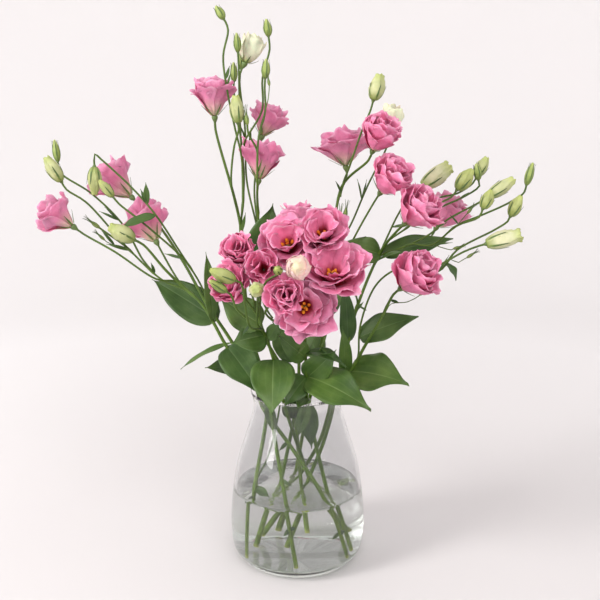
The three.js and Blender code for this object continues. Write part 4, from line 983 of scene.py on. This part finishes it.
def sepal_finish():
    """Darker green than the leaves, with darker keels."""
    finish, tree, inputs = new_finish("sepal skin", {"Roughness": 0.5})
    patches, grain = mottled(tree, 150.0)
    base = sorted_color(stored(tree, "along"), [
        (0.0, (0.26, 0.32, 0.07)), (0.3, (0.10, 0.17, 0.035)), (1.0, (0.05, 0.085, 0.02))])
    keel = worked("MULTIPLY", worked("ABSOLUTE", stored(tree, "across")), 2.2)
    keel = worked("MAXIMUM", worked("SUBTRACT", 1.0, keel), 0.0)
    base = mixed(worked("MULTIPLY", keel, 0.5), base, (0.05, 0.1, 0.03))
    base = toned(base, patches, [(0.3, (0.8, 0.8, 0.8)), (0.7, (1.1, 1.1, 1.1))])
    linked(base, inputs["Base Color"])
    bumped(grain, 0.0002, 0.4)
    return finish


SEPAL_SKIN = sepal_finish()


# Buds
# Each bud is a furled spiral of petals inside its five sepals. The small ones are green and shut, and
# the larger ones are cream with a ruffled yellow-green mouth where the petals begin to open.
BUD_ROWS = 36
BUD_TURNS = 40
BUD_PLEATS = 5
BUD_TWIST = 0.55
GREEN_BUD_SHARE = 0.86
TINY_BUD = 5.0
RIPENESS = {
    "bud_right_cream": 1.0, "bud_right_lowest": 1.0, "bud_right_upper": 0.5, "bud_right_long": 0.6,
    "bud_left_end": 0.45, "bud_left_fat": 0.4, "bud_top_pale": 0.4, "bud_cluster_round": 0.6,
    "bud_left_hanging": 0.25, "bud_left_middle": 0.2, "bud_right_twin": 0.3,
}


def bud_radius(share, ripe):
    """How wide a bud is at a share of its height, between 0 and 1. A ripe one has an open mouth."""
    body = np.sin(np.pi * (0.13 + (0.80 - 0.08 * ripe) * share**0.9)) ** (1.0 - 0.25 * ripe)
    return np.clip(body, 0.0, 1.0) + 0.15 * ripe * np.exp(-(((share - 0.98) / 0.06) ** 2))


def bud(name, foot, tip, width, ripe, seed, finish):
    """A furled bud: pleats overlap and twist up it, and frill round the well of its mouth."""
    height = (Vector(tip) - Vector(foot)).length
    share = np.linspace(0.0, 1.0, BUD_ROWS)
    around = np.linspace(0.0, 2 * np.pi, BUD_TURNS, endpoint=False)
    s, a = np.meshgrid(share, around, indexing="ij")
    swirl = BUD_PLEATS * a + 2 * np.pi * BUD_TWIST * s**1.3 + seed
    saw = (swirl / (2 * np.pi)) % 1.0
    pleat = 0.24 * s**0.6 * (saw**3 - 0.25)
    radius = width / 2 * bud_radius(s, ripe) * (1 + pleat)
    frill = (0.5 + 0.5 * np.sin(swirl)) * (1 + 0.5 * np.sin(2 * a + seed)) * np.exp(-(((s - 1) / 0.09) ** 2))
    radius = radius * (1 + 0.2 * ripe * np.sin(2 * swirl + 1.0) * np.exp(-(((s - 1) / 0.08) ** 2)))
    z = s * height + frill * (0.5 + 1.2 * ripe)
    rings = np.stack([radius * np.cos(a), radius * np.sin(a), z], axis=2) * MM
    well = height * (1.0 - 0.14 * ripe) * MM
    piece = skin(name, [[(0.0, 0.0, 0.0)], *rings, [(0.0, 0.0, well)]], finish)
    fill_attribute(piece.data, "along", [0.0, *s.ravel(), 0.9])
    fill_attribute(piece.data, "fold", [0.5, *saw.ravel(), 0.5])
    fill_attribute(piece.data, "ripe", np.full(len(piece.data.vertices), ripe))
    piece.data.transform(placing(foot, tip))
    return piece


def sepal_line_on_bud(height, width, pale):
    """Points (out, up) of a sepal's middle line along a bud, with a whisker at its end."""
    reach = 0.62 if pale else 0.98
    if width <= TINY_BUD:
        reach = 1.8
    line = []
    for k in range(SEPAL_STEPS + 1):
        part = k / SEPAL_STEPS
        share = reach * part
        stand = 0.15 + 1.7 * max(0.0, (part - 0.62) / 0.38) ** 1.6
        body = width / 2 * float(bud_radius(np.float64(min(share, 0.9)), 0.0))
        line.append((max(0.12 * width + 0.2, body + stand), share * height + 0.2))
    return line


def bud_finish(name, foot_color, green_color, cream_color, mouth_color, edge_color):
    """Waxy furled petals: their overlapping edges show as fine lines round the bud."""
    finish, tree, inputs = new_finish(name, {
        "Roughness": 0.5, "Subsurface Weight": 0.2, "Subsurface Radius": (1.0, 1.0, 0.5),
        "Subsurface Scale": 0.0015})
    patches, grain = mottled(tree, 120.0)
    along, fold = stored(tree, "along"), stored(tree, "fold")
    body = mixed(stored(tree, "ripe"), green_color, cream_color)
    low = sorted_color(along, [(0.0, (0.0, 0.0, 0.0)), (0.30, (1.0, 1.0, 1.0))])
    high = sorted_color(along, [(0.72, (0.0, 0.0, 0.0)), (1.0, (0.85, 0.85, 0.85))])
    base = mixed(high, mixed(low, foot_color, body), mouth_color)
    base = mixed(worked("MULTIPLY", worked("POWER", fold, 9.0), 0.6), base, edge_color)
    base = toned(base, patches, [(0.3, (0.84, 0.87, 0.8)), (0.7, (1.08, 1.06, 1.06))])
    linked(base, inputs["Base Color"])
    bumped(worked("ADD", grain, worked("MULTIPLY", fold, 1.5)), 0.0003, 0.5)
    return finish


PALE_BUD = bud_finish("pale bud", (0.22, 0.28, 0.06), (0.31, 0.35, 0.10), (0.57, 0.57, 0.36),
                      (0.38, 0.44, 0.12), (0.26, 0.30, 0.08))
GREEN_BUD = bud_finish("green bud", (0.12, 0.19, 0.035), (0.27, 0.34, 0.085), (0.27, 0.34, 0.085),
                       (0.46, 0.52, 0.16), (0.10, 0.16, 0.03))

for number, (name, (foot, tip, width, pale)) in enumerate(BUDS.items()):
    if not pale:
        continue
    piece = bud("furled_" + name, foot, tip, width, RIPENESS.get(name, 0.1), 1.3 * number, PALE_BUD)
    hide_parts(name)
    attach(piece, "root")


# Leafy stems
# Each cut stem is one piece: its stalks, leaves, calyxes and small green buds grow as one plant. It
# stands free in the vase, with its cut end near the floor, and leans on the wall or on another stem.
def joined(name, pieces):
    """One object out of several, under a new name."""
    with bpy.context.temp_override(active_object=pieces[0], selected_editable_objects=pieces,
                                   selected_objects=pieces):
        bpy.ops.object.join()
    pieces[0].name = pieces[0].data.name = name
    return pieces[0]


def bract_rows(stem):
    """Bracts as rows of the leaf table: they arch by an eighth of their length, towards the front."""
    return [(foot, tip, width, (Vector(tip) - Vector(foot)).length / 8, (0.2, -1, 0.4))
            for foot, tip, width in stem["bracts"]]


def leafy_stem(name, stem):
    """A stem with its leaves and bracts, a calyx under each flower and bud, and its small green buds."""
    lines = shoot_lines(stem)
    pieces = [stalks(name, stem)]
    for number, row in enumerate(stem["leaves"] + bract_rows(stem)):
        start, _ = nearest(lines, Vector(row[0]))
        pieces.append(leaf(name, start, row, number + len(name)))
    for shoot in stem["shoots"] + stem.get("twigs", []):
        flower = shoot[-1]
        if flower in BLOOMS:
            _, foot, aim, _, _, turn = BLOOMS[flower]
            pieces += calyx(name, foot, aim, turn, sepal_line_on_bloom(flower), SEPAL_WIDTH, 1.0)
        elif flower in BUDS:
            foot, tip, width, pale = BUDS[flower]
            girth = width if pale else GREEN_BUD_SHARE * width
            line = sepal_line_on_bud((Vector(tip) - Vector(foot)).length, girth, pale)
            sepal_width, cup_scale = 0.3 + 0.14 * width, min(0.85, 0.16 + 0.05 * width)
            pieces += calyx(name, foot, tip, 0.0, line, sepal_width, cup_scale)
            if not pale:
                pieces.append(bud(name, foot, tip, girth, 0.0, 0.7 * len(flower), GREEN_BUD))
    return joined("leafy_" + name, pieces)


for name, stem in STEMS.items():
    piece = leafy_stem(name, stem)
    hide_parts(name)
    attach(piece, "root")


# Blooms
# Double blooms of thin, silky petals in rings, each ring narrower and steeper than the one outside it.
# The petals are cream-green at the foot, fold over one another like furled cloth and ruffle at the rim.
# How far each bloom's petals are paled towards lilac. This is their own colour, except on bloom_right_back,
# where the paling is painted light that lifts it out of the front bloom's shade.
LILAC_AND_PAINTED_LIGHT = {
    "bloom_left_low": 0.6, "bloom_left_high": 0.5, "bloom_left_near": 0.2, "bloom_top_left": 0.5,
    "bloom_top_back": 0.4, "bloom_top_right": 0.3, "bloom_right_back": 0.5, "bloom_right_flared": 0.5,
    "bloom_cluster_low": 0.7, "bloom_cluster_right": 0.3, "bloom_cluster_back": 0.6, "bloom_cluster_top": 0.3,
    "bloom_cluster_upper": 0.2,
}
PETAL_ROWS = 18
PETAL_COLUMNS = 19
PETAL_THICKNESS = 0.26
PETAL_LAP = 1.9
PETAL_ROOM = 1.6
ROOT_STEP = 1.0
FOLD_DEPTH = 0.038
CREASE_DEPTH = 0.012
TIP_RISE = 0.05
TIP_WAVE = 0.012


def petal(name, width, height, ring, level, lilac_and_light, folds, finish):
    """One petal of a ring, upright at angle 0, with one edge over the next petal and one edge under."""
    count, _, out, rim, half, curl = ring
    s = np.linspace(0.0, 1.0, PETAL_ROWS)[:, None] ** 0.85
    v = np.linspace(-1.0, 1.0, PETAL_COLUMNS)[None, :]
    t = s * (1 - 0.07 * v**2 - 0.12 * v**8)
    half_width = half * width
    r = bend(PETAL_ROOT_RADIUS, out[0] * width, rim[0] * width, t)
    z = bend(PETAL_ROOT_HEIGHT + ROOT_STEP * level, out[1] * height, rim[1] * height, t)
    free = np.clip((s - 0.55) / 0.45, 0.0, 1.0)
    fold = 1.5 * (0.6 - np.abs(np.sin(2.3 * v + 1.3 * level + 0.9))) + 0.4 * np.sin(6.3 * v + 2.3 * level)
    crease = s**1.5 * np.sin(8.5 * v + 1.7 * level)
    r = r + width * (free**1.3 * (curl + FOLD_DEPTH * folds * fold) + CREASE_DEPTH * folds * crease)
    z = z - 0.5 * abs(curl) * width * free**2
    z = z + height * s**6 * (TIP_RISE * np.exp(-((v / 0.25) ** 2)) + TIP_WAVE * np.sin(7 * v + level))
    wide = half_width * np.sin(0.22 + 1.5 * s**0.7)
    roll = np.maximum(r, 0.55 * half_width)
    theta = v * np.minimum(wide, PETAL_ROOM * math.pi * r / count) / roll
    radial = r - roll + roll * np.cos(theta) + PETAL_LAP * v * (0.3 + 0.7 * s)
    grid = np.stack([radial, roll * np.sin(theta), z + 0 * v], axis=2)
    thickness = PETAL_THICKNESS * (1 - 0.6 * s**3) * (1 - 0.5 * np.abs(v) ** 4)
    attributes = {"along": s + 0 * v, "across": v + 0 * s, "lilac_and_light": lilac_and_light}
    return thick_sheet(name, grid[:, ::-1], thickness[:, ::-1], attributes, finish)


def set_round(tree, given, shape, extra_turn, tilt_x, tilt_y, size=(1.0, 1.0, 1.0)):
    """A count of copies of a shape at even turns round the axis, each turned and tilted a little more."""
    points = put(tree, "GeometryNodePoints", {"Count": given["Count"]})[0]
    step = worked("DIVIDE", 2 * math.pi, given["Count"])
    angle = worked("MULTIPLY", put(tree, "GeometryNodeInputIndex")["Index"], step)
    turn = put(tree, "ShaderNodeCombineXYZ", {0: tilt_x, 1: tilt_y, 2: worked("ADD", angle, extra_turn)})
    scale = put(tree, "ShaderNodeCombineXYZ", enumerate(size))["Vector"]
    return put(tree, "GeometryNodeInstanceOnPoints",
               {"Points": points, "Instance": shape, "Rotation": turn["Vector"], "Scale": scale})["Instances"]


def drawn(seed, low, high):
    """A number drawn for each copy."""
    return put(seed.id_data, "FunctionNodeRandomValue", {2: low, 3: high, "Seed": seed}, data_type="FLOAT")[1]


def ring_tree():
    """Nodes that set petals round a ring, each a little different, and ruffle them towards the rim."""
    tree, given, result = new_group("petal ring", "GeometryNodeTree", {
        "Petal": "Geometry", "Count": "Int", "First Angle": "Float", "Seed": "Int", "Ruffle": "Float",
        "Crimp": "Float", "Finish": "Material"}, {"Ring": "Geometry"})
    ranges = ((-0.09, 0.09), (-0.04, 0.04), (-0.08, 0.08), (0.96, 1.03), (0.92, 1.06), (0.93, 1.03), (0, 1))
    turn, tilt_x, tilt_y, *size, tint = (
        drawn(worked("ADD", given["Seed"], number), *limits) for number, limits in enumerate(ranges, 1))
    start = worked("ADD", given["First Angle"], turn)
    petals = set_round(tree, given, given["Petal"], start, tilt_x, tilt_y, size)
    petals = put(tree, "GeometryNodeStoreNamedAttribute", {"Geometry": petals, "Name": "tint", "Value": tint},
                 data_type="FLOAT", domain="INSTANCE")["Geometry"]
    petals = put(tree, "GeometryNodeRealizeInstances", {"Geometry": petals})["Geometry"]
    place = put(tree, "GeometryNodeInputPosition")["Position"]
    free = worked("POWER", named(tree, "along"), 3.0)
    wave = worked("MULTIPLY", given["Seed"], 3.7)
    shifts = []
    for scale, strength in ((62.0, "Ruffle"), (170.0, "Crimp")):
        noise = put(tree, "ShaderNodeTexNoise", {"Vector": place, "W": wave, "Scale": scale, "Detail": 1.0},
                    noise_dimensions="4D")["Color"]
        noise = put(tree, "ShaderNodeVectorMath", {0: noise, 1: (0.5, 0.5, 0.5)}, operation="SUBTRACT")[0]
        size = worked("MULTIPLY", free, given[strength])
        shifts.append(put(tree, "ShaderNodeVectorMath", {0: noise, "Scale": size}, operation="SCALE")[0])
    shift = put(tree, "ShaderNodeVectorMath", enumerate(shifts))["Vector"]
    petals = put(tree, "GeometryNodeSetPosition", {"Geometry": petals, "Offset": shift})["Geometry"]
    end_nodes(tree, petals, given["Finish"], result["Ring"])
    return tree


PINK = (0.79, 0.192, 0.345)
LILAC_AND_LIGHT_TONE = (0.74, 0.36, 0.50)


def petal_finish(name, foot_color, body_color, rim_color, vein_color, throat_color, throat_reach,
                 body_start=0.34):
    """Silky petal skin: foot, body and rim colours, fine veins, and a dark throat on the inside."""
    finish, tree, inputs = new_finish(name, {
        "Roughness": 0.6, "Specular IOR Level": 0.25, "Subsurface Weight": 0.35,
        "Subsurface Radius": (1.0, 0.45, 0.55), "Subsurface Scale": 0.0016})
    across, along, inside, lilac_and_light = (stored(tree, label) for label in ("across", "along", "inside", "lilac_and_light"))
    patches, grain = mottled(tree, 110.0)
    drift = worked("ADD", along, worked("MULTIPLY", worked("SUBTRACT", patches, 0.5), 0.22))
    base = sorted_color(drift, [
        (0.08, foot_color), (body_start, body_color), (0.9, body_color), (1.0, rim_color)])
    # Paled towards lilac by a share per bloom; on bloom_right_back this paling is painted light.
    paler = worked("MULTIPLY", lilac_and_light, worked("ADD", worked("MULTIPLY", along, 0.6), 0.4))
    base = mixed(worked("MULTIPLY", paler, 0.6), base, LILAC_AND_LIGHT_TONE)
    veins = veined(across, worked("MULTIPLY", along, 0.8), 12.0, 0.12)
    base = mixed(worked("MULTIPLY", veins, 0.8), base, vein_color)
    throat = sorted_color(drift, [(throat_reach * 0.55, (1.0, 1.0, 1.0)), (throat_reach, (0.0, 0.0, 0.0))])
    base = mixed(worked("MULTIPLY", throat, inside), base, throat_color)
    base = toned(base, stored(tree, "tint"), [(0.0, (0.88, 0.84, 0.87)), (1.0, (1.05, 1.08, 1.06))])
    base = toned(base, patches, [(0.32, (0.86, 0.80, 0.84)), (0.68, (1.08, 1.16, 1.12))])
    linked(base, inputs["Base Color"])
    height = worked("ADD", worked("MULTIPLY", grain, 0.5), worked("MULTIPLY", veins, 0.5))
    bumped(height, 0.0004, 0.45)
    return finish


PETAL_FINISHES = {
    "cup": petal_finish("pink cup petal", (0.62, 0.52, 0.32), (0.69, 0.165, 0.31), (0.70, 0.25, 0.39),
                        (0.58, 0.10, 0.22), (0.62, 0.10, 0.22), 0.4, 0.6),
    "rose": petal_finish("pink rose petal", (0.54, 0.52, 0.22), PINK, (0.79, 0.28, 0.43),
                         (0.62, 0.09, 0.22), (0.64, 0.08, 0.20), 0.5),
    "open": petal_finish("pink open petal", (0.50, 0.27, 0.18), PINK, (0.79, 0.29, 0.44),
                         (0.60, 0.09, 0.21), (0.38, 0.028, 0.045), 0.5),
    "half": petal_finish("cream petal", (0.38, 0.44, 0.14), (0.70, 0.65, 0.47), (0.70, 0.66, 0.45),
                         (0.60, 0.50, 0.34), (0.66, 0.60, 0.39), 0.3),
    "ball": petal_finish("blush petal", (0.72, 0.66, 0.42), (0.78, 0.60, 0.54), (0.80, 0.52, 0.49),
                         (0.82, 0.52, 0.48), (0.80, 0.66, 0.48), 0.3),
}
RING_TREE = ring_tree()
RUFFLE = 18.0
PALE_RUFFLE = 7.2
CRIMP = 5.0
# The forms that are still half shut: share of the width that their furled heart takes, its ripeness,
# how deep their petals fold beside those of an open bloom, and the skin of the heart.
PALE_FORMS = {
    "half": (0.42, 0.4, 1.0, bud_finish("furled heart", (0.30, 0.36, 0.10), (0.50, 0.54, 0.20),
                                        (0.66, 0.68, 0.38), (0.68, 0.71, 0.34), (0.58, 0.61, 0.24))),
    "ball": (0.78, 0.0, 0.3, bud_finish("blush heart", (0.60, 0.52, 0.34), (0.75, 0.53, 0.48),
                                        (0.75, 0.53, 0.48), (0.65, 0.60, 0.37), (0.68, 0.34, 0.34))),
}


def bloom(name, row, seed):
    """The rings of petals of one flower, with a furled heart where it is still half shut."""
    form, foot, aim, width, height, turn = row
    rings = []
    share, ripe, folds, heart = PALE_FORMS.get(form, (0.0, 0.0, 1.0, None))
    for level, ring in enumerate(RINGS[form]):
        piece = petal(name, width, height, ring, level, LILAC_AND_PAINTED_LIGHT.get(name, 0.0), folds, PETAL_FINISHES[form])
        rings.append(grown(piece, RING_TREE, {
            "Count": ring[0], "First Angle": math.radians(ring[1]), "Seed": seed + 17 * level,
            "Ruffle": (PALE_RUFFLE if form in PALE_FORMS else RUFFLE) * MM, "Crimp": CRIMP * MM,
            "Finish": PETAL_FINISHES[form]}))
    if form in PALE_FORMS:
        rings.append(bud(name, (0, 0, 0.3 * height), (0, 0, 0.99 * height), share * width, ripe, seed, heart))
    for piece in rings:
        piece.data.transform(placing(foot, aim, turn))
    return joined("petals_" + name, rings)


for number, (name, row) in enumerate(BLOOMS.items()):
    piece = bloom(name, row, 5 + 3 * number)
    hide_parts(name)
    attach(piece, "root")


# Stamens
# In the four open blooms that face the viewer, orange anthers stand on short threads round a green
# ovary with a two-lobed yellow head.
ANTHERS = 5


def stamen_tree():
    """Nodes that set anthers round the ovary."""
    tree, given, result = new_group("anther ring", "GeometryNodeTree", {
        "Anther": "Geometry", "Count": "Int", "Seed": "Int", "Finish": "Material"}, {"Ring": "Geometry"})
    spread = drawn(given["Seed"], -0.2, 0.2)
    ring = set_round(tree, given, given["Anther"], spread, 0.0, worked("MULTIPLY", spread, 0.6))
    end_nodes(tree, ring, given["Finish"], result["Ring"])
    return tree


def pod(name, line, radii, sides, flat=1.0):
    """A round body along points (out, up) in millimetres, with an end on each side."""
    rings = []
    for k, (out, up) in enumerate(line):
        (a, b), (c, d) = line[max(k - 1, 0)], line[min(k + 1, len(line) - 1)]
        length = math.hypot(c - a, d - b)
        across = ((b - d) / length, (c - a) / length)
        ring = []
        for j in range(sides):
            angle = 2 * math.pi * j / sides
            reach = radii[k] * flat * math.sin(angle)
            corner = (out + across[0] * reach, radii[k] * math.cos(angle), up + across[1] * reach)
            ring.append([value * MM for value in corner])
        rings.append(ring)
    return skin(name, rings, None, capped=True)


def pollen_finish(name, dark, bright):
    """Grainy matte pollen."""
    finish, tree, inputs = new_finish(name, {"Roughness": 0.8})
    patches, grain = mottled(tree, 420.0)
    linked(sorted_color(patches, [(0.35, dark), (0.65, bright)]), inputs["Base Color"])
    bumped(grain, 0.0004, 0.8)
    return finish


ANTHER_FINISH = pollen_finish("orange pollen", (0.62, 0.15, 0.006), (0.90, 0.40, 0.02))
OVARY_FINISH = pollen_finish("ovary skin", (0.10, 0.13, 0.03), (0.30, 0.30, 0.06))
STAMEN_TREE = stamen_tree()

for number, name in enumerate(("cluster_upper", "cluster_top", "cluster_right", "cluster_low")):
    _, foot, aim, _, _, turn = BLOOMS["bloom_" + name]
    thread = pod(name, [(0.9, 9.6), (2.2, 11.8), (3.3, 13.4)], (0.3, 0.25, 0.22), 6)
    anther = pod(name, [(2.4, 12.0), (2.8, 12.7), (3.4, 14.3), (4.1, 15.9), (4.6, 16.8)],
                 (0.3, 1.35, 1.6, 1.35, 0.3), 10, 0.8)
    anthers = grown(joined(name, [anther, thread]), STAMEN_TREE,
                    {"Count": ANTHERS, "Seed": 3 + number, "Finish": ANTHER_FINISH})
    ovary = pod(name, [(0, 9.5), (0, 11.0), (0, 13.2), (0, 15.0), (0, 16.2)], (1.2, 1.8, 1.5, 0.7, 0.5), 12)
    lobes = [pod(name, [(0, 16.0), (side * 0.8, 16.8), (side * 1.3, 17.7)], (0.5, 0.8, 0.3), 8)
             for side in (-1, 1)]
    for piece in (ovary, *lobes):
        piece.data.materials.append(OVARY_FINISH if piece == ovary else ANTHER_FINISH)
    stamens = joined("stamen_ring_" + name, [anthers, ovary, *lobes])
    stamens.data.transform(placing(foot, aim, turn))
    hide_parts("stamens_" + name)
    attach(stamens, "root")
